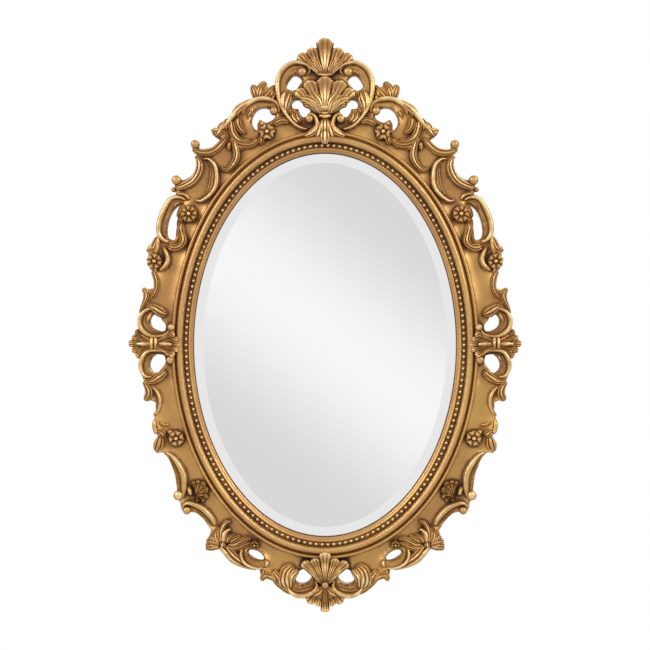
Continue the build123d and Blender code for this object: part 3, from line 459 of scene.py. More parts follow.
sideOrnaments["lower_acanthus"] = [
    even(
        [(166, -318), (167, -305), (165, -294), (159, -285), (150, -282)],
        (5, 4.5, 4, 3.5, 2), (20, 20, 20, 18, 14),
    ),
    even([(163, -318), (161, -306), (155, -298)], (5, 5, 2), (20, 18, 12)),
    even([(168, -316), (171, -303), (170, -290)], (5, 5, 2), (20, 18, 12)),
    even([(168, -320), (179, -312), (187, -308)], (5, 6, 3), (20, 18, 12)),
    even([(168, -323), (181, -321), (192, -321)], (5, 6, 3.5), (20, 18, 12)),
    stroke(
        [(168, -321), (160, -331), (149, -344), (136, -352), (122, -357), (110, -360)],
        (5, 5, 5, 4, 3, 2), (5, 9, 8, 6, 4, 2), (20, 20, 18, 16, 14, 10),
    ),
    even([(160, -320), (150, -334), (138, -344), (128, -350)], (5, 7, 6, 4), (17, 18, 17, 14)),
    even(
        [(158, -322), (147, -326), (135, -323), (127, -319), (118, -318)],
        (5, 5.5, 5, 4, 2), (18, 16, 14, 10),
    ),
    even(
        [(156, -319), (146, -320), (136, -315), (127, -311), (117, -311)],
        (5, 5.5, 5, 4, 2), (18, 17, 14, 10),
    ),
    even([(154, -316), (144, -311), (134, -306)], (4, 5, 2.5), (17, 16, 11)),
    even([(158, -318), (155, -310), (149, -306), (143, -306)], (4, 4.5, 3.5, 2), (19, 18, 16, 12)),
    even([(163, -316), (162, -304), (157, -297), (150, -295)], (4, 4.2, 3.4, 2), (22, 21, 18, 13)),
    even([(170, -318), (175, -307), (175, -296)], (4, 4.5, 2.5), (21, 20, 14)),
    even([(168, -317), (178, -309), (185, -304)], (4, 5, 3), (22, 20, 14)),
    even([(168, -319), (182, -315), (191, -314)], (4, 5, 3), (22, 19, 13)),
    even([(168, -322), (182, -325), (192, -326)], (4, 4.6, 3), (21, 18, 12)),
    even([(166, -326), (164, -320), (163, -313)], (4, 5, 4), (19, 22, 19)),
]

sideOrnaments["crest_scroll"] = [
    stroke(
        [
            (33, 430), (25, 437), (27, 446), (36, 451), (48, 453), (58, 450), (67, 443),
            (73, 434), (76.5, 424), (77, 412), (75.5, 400), (73, 390), (69, 380),
            (63, 370), (55, 360), (46, 352), (36, 347.5), (28, 346),
        ],
        (2.5, 3, 3, 3.5, 3.5, 3, 3), (2.5, 9, 16, 14, 11, 7, 3), (14, 20, 22, 22, 20, 18, 14),
    ),
    ball(37, 437, 5.5, 20),
    stroke(
        [(62, 369), (63, 382), (59, 396), (56, 407)],
        (4, 7, 8, 6), (4, 5, 6, 5), (16, 22, 22, 14),
    ),
    even([(38, 356), (44, 364), (45, 372), (43.5, 379)], (5, 5.5, 4, 1.8), (14, 16, 14, 9)),
    even([(42, 355), (50, 362), (52, 369), (51, 377)], (5, 5.5, 4, 2), (16, 18, 16, 11)),
    even([(66, 374), (68, 386), (67, 398), (62, 407)], (3, 4, 4, 3), (17, 22, 21, 15)),
    even([(56, 357), (66, 360), (75, 358), (84, 352)], (3, 5, 5.5, 4), (14, 17, 17, 12)),
]

sideOrnaments["arch_leaf"] = [
    stroke(
        [(114, 394), (130, 386), (141, 376), (150, 364), (158, 353), (168, 345), (181, 344)],
        (3, 4, 4, 4, 4, 4, 5), (4, 8, 12, 12, 10, 8, 5), (12, 18, 22, 22, 20, 18, 12),
    ),
    stroke(
        [(150, 361), (150, 350), (147, 338), (139, 329), (128, 326), (119, 330)],
        (3, 5, 6, 5, 5, 3), (4, 7, 8, 6, 5, 3), (16, 19, 19, 18, 16, 12),
    ),
    even([(140, 366), (139, 353), (134, 344), (125, 339)], (5, 6, 5, 3), (16, 18, 16, 12)),
    even([(152, 333), (142, 325), (128, 321), (115, 323), (107, 331)], (5, 6, 6, 5, 4), (14,)),
    even([(155, 363), (158, 352), (158, 342)], (4, 6, 3.5), (20, 20, 14)),
    even([(124, 388), (137, 379), (147, 367)], (4, 6, 5), (20, 24, 21)),
    even([(104, 335), (102, 328), (106, 321)], (4, 5, 3), (13, 14, 11)),
    even([(160, 357), (167, 349), (172, 341)], (4, 5, 3), (19, 20, 15)),
    even([(164, 348), (170, 340), (175, 333)], (4, 6, 3.5), (18, 18, 14)),
]

sideOrnaments["arch_scroll"] = [
    stroke(
        [
            (75, 371), (74, 379), (77, 386), (83, 391), (92, 394.5), (102, 395.5),
            (112, 393.5), (121, 389), (128, 383), (131.5, 376), (131, 367),
        ],
        (3, 3.5, 3.5, 3.5, 3.5, 3), (3, 7, 13, 15, 14, 10), (14, 18, 20, 20, 18, 14),
    ),
    ball(82, 375, 5, 18),
    even([(117, 377), (122, 367), (125, 359)], (6, 5, 2.5), (14, 14, 10)),
    even([(86, 397), (84, 406), (87, 414)], (4, 4, 2.5), (14, 13, 10)),
    even([(98, 395), (90, 404), (84, 411), (79.5, 416.5)], (5, 6.5, 5, 3), (17, 16, 13, 10)),
    even([(100, 396), (101, 406), (100, 412)], (4, 4.5, 3), (15, 15, 12)),
    even([(109, 394), (112, 407), (117, 417.5)], (5, 7, 4.5), (17, 18, 13), flutes=4),
    even([(107, 394), (105, 407), (100, 416), (94, 421.5)], (5, 7, 6, 4), (18, 19, 16, 12), flutes=4),
]

sideOrnaments["shoulder_scroll"] = [
    stroke(
        [
            (157, 334), (160, 328), (165, 321), (171, 315), (178, 310), (186, 307.5),
            (194, 307), (201, 308), (208, 311), (212, 316),
        ],
        (4, 8, 8, 8, 7, 3), (3, 5, 6, 6, 5, 3), (14, 19, 19, 19, 19, 16),
    ),
    ball(208, 321.5, 5.5, 18),
    stroke(
        [(147, 333), (144, 322), (141, 310), (141, 300), (145, 291), (151, 284), (159, 280), (168, 284)],
        (4, 6, 7, 7, 6, 4, 2), (3, 5, 5, 5, 4, 4, 2), (14, 18, 20, 20, 18, 16, 12),
    ),
    even([(152, 325), (154, 318), (153, 311)], (3, 4, 2.5), (16, 15, 12)),
    even([(143, 322), (135, 316), (128, 312)], (5, 4, 1.5), (14, 12, 6)),
]

sideOrnaments["loop_scroll"] = [
    stroke(
        [
            (222, 231), (231, 235.5), (241, 236), (248, 232), (254, 224), (259, 215), (263, 205),
            (266, 193), (266, 182), (263, 174), (257, 168), (249, 165.5),
        ],
        (3, 4, 5, 4.5, 4.5, 4.5, 5, 4), (3, 7, 9, 12, 12, 12, 8, 4), (14, 20, 21, 21, 21, 21, 20, 16),
    ),
    even([(217, 232), (222, 239), (230, 242), (237, 241)], (2.5, 3.2, 3.2, 2), (14, 17, 17, 14)),
    even([(224, 226), (231, 216), (236, 204)], (4, 4.5, 3), (12, 14, 12)),
]

sideOrnaments["side_leaf_upper"] = [
    even([(268, 174), (271, 163), (277, 154), (287, 151)], (4, 6, 5.5, 2), (12, 16, 15, 8)),
    even([(270, 162), (272, 153), (276, 147)], (4, 5, 4), (14, 15, 12)),
    even([(266, 178), (267, 165), (269, 152), (273, 145)], (3, 4, 4, 3), (14, 17, 17, 14)),
    even([(276, 160), (281, 155), (285, 152)], (3, 4, 2.5), (15, 15, 10)),
    stroke(
        [(293, 91), (287, 85), (286, 76), (290, 67), (294, 58), (296, 50)],
        (4, 6, 6, 4, 3, 3), (4, 5, 5, 5, 4, 3), (8, 15, 17, 17, 16, 14),
    ),
    stroke(
        [(276, 120), (271, 110), (269, 98), (271, 87), (276, 79), (284, 70)],
        (5, 6, 6, 5, 4, 2), (4, 5, 5, 5, 4, 3), (14, 16, 16, 16, 15, 12),
    ),
]

sideOrnaments["side_ring_upper"] = [
    stroke(
        [
            (268, 56), (276, 58), (284, 57), (291, 53), (296, 46), (298, 38), (297, 30),
            (292, 22), (285, 17), (277, 14), (268, 13.5), (260, 15), (253, 19), (249, 25),
        ],
        (3, 3, 3, 3, 3, 3, 3, 3), (5, 8, 11, 15, 14, 9, 7, 4), (14, 18, 20, 20, 20, 20, 18, 16),
    ),
    ball(246, 28, 5, 18),
    even([(288, 64), (275, 60), (262, 52), (252, 48)], (3, 6, 8, 4), (14, 18, 18, 12)),
]

sideOrnaments["side_ring_lower"] = [
    stroke(
        [
            (250, -19), (256, -12), (264, -9), (273, -8.5), (282, -9.5), (289, -14),
            (294, -22), (296.5, -31), (295, -40), (291, -47), (284, -51), (276, -50),
        ],
        (3, 3, 3, 3, 3, 3, 3, 3), (4, 6, 7, 9, 14, 13, 8, 5), (16, 18, 20, 20, 20, 20, 18, 14),
    ),
    ball(248, -24, 5, 18),
    even([(290, -57), (277, -58), (264, -50), (254, -41)], (3, 5, 7, 4), (14, 18, 18, 12)),
]

sideOrnaments["side_leaf_lower"] = [
    even([(291, -58), (284, -68), (282, -79), (289, -90)], (3, 5.5, 6.5, 4.5), (14, 17, 17, 9)),
    stroke(
        [(278, -66), (271, -73), (266, -81), (264, -90), (265, -99), (268, -107), (275, -114)],
        (3, 6, 8, 8, 7, 4, 2), (3, 4, 4, 4, 4, 3, 2), (12, 15, 16, 16, 15, 13, 9),
    ),
    even([(249, -127), (257, -128), (266, -122)], (2, 2.5, 2), (10, 12, 12)),
    even([(271, -118), (273, -126), (272, -135), (269, -143)], (2.5, 4, 4, 4), (12, 15, 16, 16)),
    even([(255, -147), (262, -141), (269, -137)], (4, 6, 4), (14, 16, 14)),
    even([(263, -146), (266, -160), (271, -172)], (5, 8.5, 6), (16, 17, 10)),
]

sideOrnaments["lower_edge_scroll"] = [
    stroke(
        [
            (257, -171), (248, -175), (241, -182), (235, -190), (230, -199), (226, -210),
            (225, -220), (225, -230), (227, -240), (231, -248),
        ],
        (4, 8, 12, 13, 14, 12, 6), (2, 4, 5, 6, 5, 4, 2), (12, 18, 19, 19, 19, 18, 14),
    ),
    ball(235, -241, 6, 20),
]

sideOrnaments["lower_scroll"] = [
    stroke(
        [
            (227, -262), (226, -257), (221, -253.5), (213, -254), (205, -256.5), (197, -261),
            (189, -268), (183, -275), (178, -283), (175, -291),
        ],
        (3, 8, 12, 12, 12, 10, 8), (2, 4, 4, 5, 5, 5, 4), (14, 19, 19, 19, 19, 18, 14),
    ),
    ball(221, -265, 5, 18),
]

sideOrnaments["lower_loop"] = flower(113, -321, 7.5, 5, 18) + [
    stroke(
        [(132, -325), (134, -336), (130, -347), (121, -353.5), (109, -357), (98, -356.5)],
        (4, 4, 4, 3.5, 3, 3), (4, 6, 6, 6, 5, 4), (14, 18, 18, 18, 18, 16),
    ),
    even([(96, -357), (93, -350), (95, -343)], (3, 4, 3), (14, 16, 12)),
    even([(79, -378), (88, -371), (97, -370), (102, -379)], (3, 5, 5.5, 3), (12, 15, 14, 8)),
    even([(101, -358), (99, -364), (98, -371)], (4, 5, 4), (12, 14, 12)),
]

sideOrnaments["bottom_ring"] = [
    stroke(
        [
            (16, -376), (13, -385), (16, -393), (24, -399), (33, -402), (43, -402),
            (52, -398), (58, -391), (60, -382), (57, -374),
        ],
        (4, 9, 14, 14, 11, 6, 4), (3, 3.5, 3.5, 3.5, 3.5, 4, 3), (14, 20, 21, 21, 20, 18, 14),
    ),
    even([(51, -398), (62, -392), (72, -385), (83, -377)], (4, 5, 4.5, 3), (16, 17, 16, 12)),
    even([(57, -392), (61, -376), (58, -363), (49, -352)], (8, 13, 12, 6), (20, 24, 21, 13), flutes=5),
    even([(70, -382), (77, -370), (85, -360)], (4, 6, 4), (16, 17, 10)),
    even([(56, -380), (52, -370), (46, -363), (42, -358)], (4, 6, 5, 3), (24, 24, 20, 14)),
    even([(77, -382), (83, -372), (89, -365)], (3.5, 4.5, 3), (14, 15, 11)),
]


# Sawn outline of the right half, from the top down, as smooth runs between corners
boardOutline = [
    [(0, 484), (7, 483), (12, 478.5)],
    [(12, 478.5), (18, 473), (24, 469)],
    [(24, 469), (34, 466), (41, 461)],
    [(41, 461), (42, 456), (42, 451.5)],
    [(42, 451.5), (50, 451), (58, 448), (66, 441), (72, 432), (75, 422), (75.5, 410), (72, 390)],
    [(72, 390), (75, 387), (79, 391)],
    [(79, 391), (77, 402), (81, 411)],
    [(81, 411), (86, 411.5), (92, 415)],
    [(92, 415), (96, 417), (100, 410)],
    [(100, 410), (108, 411), (115, 413)],
    [(115, 413), (114, 406), (110, 399), (111, 394.5)],
    [(111, 394.5), (122, 391), (132, 386), (141, 379), (150, 367), (158, 356), (166, 348)],
    [(166, 348), (174, 345.5), (183, 346)],
    [(183, 346), (181, 339), (174, 333), (166, 328)],
    [(166, 328), (171, 320), (180, 314.5), (190, 312.5), (200, 315), (206, 321)],
    [(206, 321), (209, 320), (209.5, 315), (205, 307)],
    [(205, 307), (207, 298), (206, 289), (209, 279), (216, 270), (226, 265), (236, 265)],
    [(236, 265), (240, 262), (241, 256), (240, 247), (239, 239)],
    [(239, 239), (246, 234), (252, 227), (258, 216), (263, 202), (266, 188), (267.5, 171)],
    [(267.5, 171), (271, 162), (277, 155.5), (284, 151)],
    [(284, 151), (283, 140), (283, 128), (278, 119)],
    [(278, 119), (273, 109), (272.5, 99), (275, 91)],
    [(275, 91), (282, 90), (291, 90)],
    [(291, 90), (288, 80), (290, 70), (293, 60), (297, 49), (299, 38), (296, 26)],
    [(296, 26), (304, 15), (308, 3), (304, -10), (297, -20)],
    [(297, -20), (297, -32), (295, -45), (290, -58), (284, -68), (284, -80), (287, -89)],
    [(287, -89), (280, -89), (272, -92)],
    [(272, -92), (271, -102), (274, -113)],
    [(274, -113), (273, -126), (270, -140), (268, -152), (269, -164), (270, -174)],
    [(270, -174), (262, -172.5), (256, -175)],
    [(256, -175), (248, -188), (242, -204), (239, -219), (237.5, -233), (238, -245), (232, -252)],
    [(232, -252), (231, -261), (226, -269), (214, -268), (204, -271), (193, -282), (183, -297)],
    [(183, -297), (185, -306), (190, -314), (190, -322)],
    [(190, -322), (182, -321), (172, -325), (160, -332), (150, -342), (136, -352), (120, -358)],
    [(120, -358), (110, -359.5), (101, -361)],
    [(101, -361), (103, -368), (102, -377)],
    [(102, -377), (93, -375), (84, -377), (74, -384), (62, -393), (50, -400), (36, -403.5)],
    [(36, -403.5), (29, -404), (24, -407)],
    [(24, -407), (16, -411), (8, -419), (0, -424)],
]

# Openings pierced through the right half of the board and its ornament
piercedOpenings = [
    [(42, 431), (50, 432.5), (56, 427), (61, 415), (56, 409), (47, 409), (40, 418), (37, 424)],
    [(37, 391), (47, 393.5), (53, 388), (51, 379), (44, 378), (36, 366), (28, 368), (24, 378)],
    [(80, 366), (88, 378), (98, 381), (109, 377), (116, 366), (116, 352), (109, 344), (107, 357),
     (92, 357)],
    [(227, 225.5), (240, 220), (249, 206), (253.5, 188), (250, 171), (241, 169), (238, 188), (234, 208)],
    [(266, 47), (274, 49), (280, 42), (279, 31), (270, 24), (258, 22.5), (256, 32), (262, 40)],
    [(260, -15), (272, -16), (281, -28), (279, -40), (270, -45), (262, -37), (256, -27)],
    [(99, -345), (98, -340), (108, -331), (119, -328.5), (123, -334), (116, -341.5)],
    [(21, -368), (26, -361.5), (37, -360.5), (48, -369), (48, -378), (36, -384), (25, -379)],
]


carvingLook = {
    "bosses": 1.28,
    "leafWidth": 1.16,
    "blossoms": 1.05,
    "plainUnder": 4.3,  # a leaf whose half width stays under this has no grooves
    "coveOver": 1.45,  # a stroke so much wider on one side is a cove
}


def carve(pieces):
    carving = Carving()
    for piece in sorted(pieces, key=lambda piece: "fan" not in piece):
        if "ball" in piece:
            addBall(carving, *piece["ball"], piece["radius"] * carvingLook["bosses"], piece["rise"] + 1)
        elif "flower" in piece:
            radius = piece["radius"] * carvingLook["blossoms"]
            addFlower(carving, *piece["flower"], radius, piece["petals"], piece["rise"])
        elif "fan" in piece:
            low, high = piece["rises"]
            profile = (low, low * 0.5 + high * 0.58,
                       high * 0.96, high * 0.84, high * 0.66, high * 0.74, high)
            addFan(carving, piece["fan"], piece["tips"], piece["waist"], profile)
        else:
            carveStroke(carving, piece)
    return carving


def carveStroke(carving, piece):
    left, right = np.atleast_1d(piece["left"]), np.atleast_1d(piece["right"])
    line, rise, kind, flutes = (piece[key] for key in ("line", "rise", "kind", "flutes"))
    if not kind:
        wide, narrow = max(left.max(), right.max()), min(left.max(), right.max())
        kind = "cove" if wide > carvingLook["coveOver"] * narrow else "dome"
        flutes = 1 if kind == "cove" else 3
    if kind == "cove" and left.max() > right.max():  # the hollow is always on the right of the line
        line, left, right, rise = line[::-1], right[::-1], left[::-1], np.atleast_1d(rise)[::-1]
    if kind == "leaf":
        flutes = 1 if left.max() < carvingLook["plainUnder"] else flutes
        left, right = left * carvingLook["leafWidth"], right * carvingLook["leafWidth"]
    addStroke(carving, line, left, right, rise, kind, flutes)


# Relief map: the height of everything over the board's front, on a grid of millimetres
relief = {"lowX": -330, "lowZ": -440, "wide": 661, "tall": 941, "near": 2.2, "far": 8.0, "outside": 4.0}


def softened(grid, sigma):
    span = int(sigma * 3)
    kernel = np.exp(-0.5 * (np.arange(-span, span + 1) / sigma) ** 2)
    kernel /= kernel.sum()
    for axis in (0, 1):
        padded = np.pad(grid, [(span, span) if k == axis else (0, 0) for k in (0, 1)], mode="edge")
        size = grid.shape[axis]
        grid = sum(w * np.take(padded, np.arange(i, i + size), axis=axis) for i, w in enumerate(kernel))
    return grid


def cell(x, z):
    i = np.clip(np.round(z - relief["lowZ"]).astype(int), 0, relief["tall"] - 1)
    j = np.clip(np.round(x - relief["lowX"]).astype(int), 0, relief["wide"] - 1)
    return i, j


mouldingProfile = [  # offset from the sight edge and rise
    (0.0, 5.0), (0.0, 1.0), (0.5, 2.6), (1.6, 4.8), (3.0, 6.5), (4.6, 7.8), (5.8, 8.4), (6.4, 8.3),
    (6.9, 7.6), (7.2, 5.8), (7.6, 4.9), (8.6, 4.55), (10.9, 4.5), (13.2, 4.55), (14.4, 5.0),
    (14.9, 6.6), (15.3, 9.2), (15.8, 11.6), (16.7, 14.2), (18.0, 16.3), (19.5, 17.5), (21.0, 17.9),
    (22.6, 17.5), (24.1, 16.3), (25.4, 14.2), (26.2, 12.0), (26.6, 10.4), (27.1, 9.3), (27.8, 9.1),
    (28.3, 9.9), (28.9, 11.3), (29.8, 12.6), (30.9, 13.3), (32.0, 13.3), (33.1, 12.6), (33.9, 11.2),
    (34.4, 9.2), (34.7, 6.5), (34.9, 3.0), (34.9, 0.0),
]
panel = {
    "foot": 1.0,
    "innerRise": 6.0,
    "rimRise": 12.0,
    "rimSetback": 3.5,
    "curve": 2.6,
    "fullWidth": 34.0,
    "coveStart": 34.0,
    "innerCorners": 360,
    "spacing": 3.2,
    "edgeClearance": 1.7,
}


def mouldingRise(offset):
    table = np.array(mouldingProfile[1:])
    inside = (offset >= 0) & (offset < table[-1, 0])
    return np.where(inside, np.interp(offset, table[:, 0], table[:, 1]), -99)


def outlineLoop():
    # The sawn outline, right side down and left side up
    right = []
    for run in boardOutline:
        right += smoothLine(run, 2.4)[0].tolist()[:-1]
    right.append(boardOutline[-1][-1])
    left = [(-x, z) for x, z in right[1:-1]][::-1]
    return [tuple(p) for p in right] + left


def ringPoints(count, offset):
    a, b = opening["halfWidth"], opening["halfHeight"]
    angle = np.linspace(0, 2 * math.pi, count, endpoint=False)
    nx, nz = np.cos(angle) / a, np.sin(angle) / b
    size = np.hypot(nx, nz)
    return np.column_stack([a * np.cos(angle) + offset * nx / size, b * np.sin(angle) + offset * nz / size])


def closedLine(points, step):
    p = np.array(points, float)
    wrapped = np.vstack([p[-2:], p, p[:2]])
    line = smoothLine(wrapped, step)[0]
    first = np.argmin(np.linalg.norm(line - p[0], axis=1)[: len(line) // 2])
    last = len(line) // 2 + np.argmin(np.linalg.norm(line - p[0], axis=1)[len(line) // 2:])
    return line[first:last]


def distanceTo(loops, x, z):
    # Distance to the nearest corner of dense loops, in chunks
    corners, chunk = np.vstack(loops), 4000
    out = np.empty(len(x))
    for i in range(0, len(x), chunk):
        dx = x[i:i + chunk, None] - corners[None, :, 0]
        dz = z[i:i + chunk, None] - corners[None, :, 1]
        out[i:i + chunk] = np.sqrt((dx ** 2 + dz ** 2).min(axis=1))
    return out


def panelRise(offset, rim):
    # A cove between the moulding and the rim of the board
    inner = np.clip(offset - panel["coveStart"], 0, 80)
    share = inner / (inner + rim + 0.01)
    width = np.clip((inner + rim) / panel["fullWidth"], 0.25, 1)
    slopes = panel["innerRise"] * (1 - share) ** panel["curve"] + panel["rimRise"] * share ** panel["curve"]
    rise = panel["foot"] + width * slopes
    edge = np.clip(rim / panel["rimSetback"], 0, 1)
    return rise * (0.5 + 0.5 * np.sqrt(1 - (1 - edge) ** 2))


def smoothMesh(name, points, faces):
    mesh = bpy.data.meshes.new(name)
    mesh.from_pydata(points, [], faces)
    mesh.validate()
    mesh.shade_smooth()
    made = bpy.data.objects.new(name, mesh)
    bpy.context.scene.collection.objects.link(made)
    return made


def sharpen(made, degrees):
    mesh = made.data
    work = bmesh.new()
    work.from_mesh(mesh)
    limit = math.radians(degrees)
    for edge in work.edges:
        edge.smooth = edge.is_manifold and edge.calc_face_angle(0) < limit
    work.to_mesh(mesh)
    work.free()


pressed = {"over": 17.0, "share": 0.58}  # so that the highest carving stays under the depth of the solids


def lowered(rise):
    over = pressed["over"]
    return np.where(rise > over, over + (rise - over) * pressed["share"], rise)


def toWorld(points):
    p = np.array(points, float)
    return np.column_stack([p[:, 0], opening["boardFront"] - lowered(p[:, 2]), p[:, 1]]) * mm


# Board
def boardGrid(loops):
    # Points all over the front, clear of the loops
    x, z = np.meshgrid(np.arange(-310, 311, panel["spacing"]), np.arange(-430, 491, panel["spacing"]))
    x = x + (np.arange(x.shape[0])[:, None] % 2) * panel["spacing"] / 2
    x, z = x.ravel(), z.ravel()
    keep = ovalOffset(x, z) > panel["coveStart"] + 1.6
    x, z = x[keep], z[keep]
    clear = distanceTo([np.array(l) for l in loops], x, z) > panel["edgeClearance"]
    return x[clear], z[clear]


def makeBoard():
    outline = outlineLoop()
    inner = [tuple(p) for p in ringPoints(panel["innerCorners"], panel["coveStart"])]
    holes = []
    for points in piercedOpenings:
        line = closedLine(points, 2.0)
        holes.append([tuple(p) for p in line])
        holes.append([(-x, z) for x, z in line][::-1])
    loops = [outline] + [inner] + holes
    corners, edges = [], []
    for loop in loops:
        start = len(corners)
        corners += [Vector(p) for p in loop]
        edges += [(start + i, start + (i + 1) % len(loop)) for i in range(len(loop))]
    corners += [Vector((float(x), float(z))) for x, z in zip(*boardGrid(loops))]
    flat, _, faces, _, _, _ = delaunay_2d_cdt(corners, edges, [], 2, 1e-5)
    points = np.array([(p.x, p.y) for p in flat])
    middles = np.array([points[list(f)].mean(axis=0) for f in faces])
    solid = pointsInside(middles, outline)
    for loop in [inner] + holes:
        solid &= ~pointsInside(middles, loop)
    faces = [list(f) for f, good in zip(faces, solid) if good]
    rim = distanceTo([np.array(l) for l in [outline] + holes], points[:, 0], points[:, 1])
    rise = panelRise(ovalOffset(points[:, 0], points[:, 1]), rim)
    used = sorted({i for f in faces for i in f})
    number = {old: new for new, old in enumerate(used)}
    points, rise = points[used], rise[used]
    faces = [[number[i] for i in f] for f in faces]
    faces = [f if signedArea(points[f]) < 0 else f[::-1] for f in faces]
    sides = {(a, b) for f in faces for a, b in zip(f, f[1:] + f[:1])}
    rims = sorted((a, b) for a, b in sides if (b, a) not in sides)
    return [(x, z, r, 0.0) for (x, z), r in zip(points, rise)], faces, rims


def signedArea(p):
    x, z = p[:, 0], p[:, 1]
    return 0.5 * (np.dot(x, np.roll(z, -1)) - np.dot(z, np.roll(x, -1)))


def pointsInside(points, loop):
    inside = np.zeros(len(points), bool)
    p = np.array(loop)
    q = np.roll(p, -1, axis=0)
    x, z = points[:, 0], points[:, 1]
    for (ax, az), (bx, bz) in zip(p, q):
        if az == bz:
            continue
        crosses = (az > z) != (bz > z)
        inside ^= crosses & (x < (bx - ax) * (z - az) / (bz - az) + ax)
    return inside


def panelFacing():
    # The carved front skin of the board, closed by a flat back on the board's face
    front, faces, rims = makeBoard()
    count = len(front)
    carving = Carving()
    carving.points = front + [(x, z, 0.0, 0.5) for x, z, r, g in front]
    carving.faces = faces + [[i + count for i in f][::-1] for f in faces]
    carving.faces += [[b, a, a + count, b + count] for a, b in rims]
    return carving


facing = panelFacing()
print("board facing:", len(facing.faces), "faces")


# Moulding round the opening, swept along the oval
mouldingLook = {
    "sections": 420,
    # From and to offset, and how dark the groove is made: patina and painted shade
    "grooves": ((7.0, 15.2, 0.62), (26.3, 28.2, 0.75), (34.3, 99.0, 0.6)),
    "tongue": -3.0,
    "tongueGroove": 0.2,
}


def sweptMoulding():
    count = mouldingLook["sections"]
    carving = Carving()
    for offset, rise in mouldingProfile:
        deep = max([0.0] + [dark for low, high, dark in mouldingLook["grooves"] if low < offset < high])
        carving.points += [(x, z, rise, deep) for x, z in ringPoints(count, offset)]
    # The first profile point goes back behind the board's lip, as the rebate tongue does
    carving.points[:count] = [(x, z, mouldingLook["tongue"], mouldingLook["tongueGroove"])
                              for x, z, r, g in carving.points[:count]]
    rows = len(mouldingProfile)
    for r in range(rows):
        s = (r + 1) % rows
        for i in range(count):
            j = (i + 1) % count
            carving.faces.append([r * count + i, r * count + j, s * count + j, s * count + i])
    return carving


moulding = sweptMoulding()
print("moulding swept")

carvings = {}
for name, pieces in centreOrnaments.items():
    carvings[name] = carve(pieces)
for name, pieces in sideOrnaments.items():
    carvings[name + "_right"] = carve(pieces)
    carvings[name + "_left"] = carvings[name + "_right"].mirrored()
print("carvings:", len(carvings), "with", sum(len(c.faces) for c in carvings.values()), "faces")


# Relief map and the two values that every gilt vertex carries: hollow, for patina and painted shade, and
# proud, for wear and painted highlight
def highestRound(high, steps):
    # Cells that nothing covers take the highest of their neighbours
    spread = high.copy()
    for di, dj in steps:
        shifted = np.roll(np.roll(high, di, axis=0), dj, axis=1)
        spread = np.where((high < -1) & (shifted > spread), shifted, spread)
    return spread


def reliefMap():
    z, x = np.meshgrid(relief["lowZ"] + np.arange(relief["tall"]),
                       relief["lowX"] + np.arange(relief["wide"]), indexing="ij")
    offset = ovalOffset(x.astype(float), z.astype(float))
    high = np.where(offset < 0, 1.0, mouldingRise(offset))
    high = np.where(offset >= mouldingProfile[-1][0], -50.0, high)
    board = facing.points[:len(facing.points) // 2]
    for points in [board] + [c.points for c in carvings.values()]:
        p = np.array(points)
        i, j = cell(p[:, 0], p[:, 1])
        np.maximum.at(high, (i, j), p[:, 2])
    high = highestRound(high, [(i, j) for i in (-1, 0, 1) for j in (-1, 0, 1)])
    for _ in range(2):
        high = highestRound(high, ((0, 1), (1, 0), (0, -1), (-1, 0)))
    return np.where(high < -1, relief["outside"], high)


heights = reliefMap()
nearHeights = softened(heights, relief["near"])
farHeights = softened(heights, relief["far"])
print("relief map made")


# How depth turns into patina and painted shade, and height into wear and painted highlight
wearAndShade = {"nearDepth": 6.0, "farDepth": 15, "nearRise": 4.0, "farRise": 13, "groove": 0.55}


def storeWearAndShade(mesh, hollow, proud):
    for label, values in (("hollow", hollow), ("proud", proud)):
        attribute = mesh.attributes.new(label, "FLOAT", "POINT")
        attribute.data.foreach_set("value", np.clip(values, 0, 1).astype(np.float32))


def addWearAndShade(made, points):
    # hollow: depth below what is round the point, which darkens the gilt with patina and painted shade;
    # proud: height over it, which lightens it with wear and painted highlight
    p = np.array(points, float)
    i, j = cell(p[:, 0], p[:, 1])
    near, far = nearHeights[i, j] - p[:, 2], farHeights[i, j] - p[:, 2]
    hollow = (np.clip(near / wearAndShade["nearDepth"], 0, 1) * 0.55 + np.clip(far / wearAndShade["farDepth"], 0, 1) * 0.4
              + p[:, 3] * wearAndShade["groove"])
    proud = np.clip(-near / wearAndShade["nearRise"], 0, 1) * 0.6 + np.clip(-far / wearAndShade["farRise"], 0, 1) * 0.5
    proud = proud * (1 - p[:, 3] * 0.8)
    storeWearAndShade(made.data, hollow, proud)


# Materials

class Value:
    # A socket that Python's operators turn into Math nodes
    def __init__(self, shader, socket):
        self.shader, self.socket = shader, socket

    def math(self, operation, other, turned=False):
        first, second = (other, self) if turned else (self, other)
        return self.shader.node("ShaderNodeMath", {"operation": operation}, {0: first, 1: second})

    def __add__(self, other): return self.math("ADD", other)
    def __radd__(self, other): return self.math("ADD", other, True)
    def __sub__(self, other): return self.math("SUBTRACT", other)
    def __rsub__(self, other): return self.math("SUBTRACT", other, True)
    def __mul__(self, other): return self.math("MULTIPLY", other)
    def __rmul__(self, other): return self.math("MULTIPLY", other, True)
    def __pow__(self, other): return self.math("POWER", other)

    def between(self, low, high, start=0.0, end=1.0):
        return self.shader.node("ShaderNodeMapRange", {"clamp": True, "interpolation_type": "SMOOTHSTEP"},
                                {0: self, 1: low, 2: high, 3: start, 4: end})


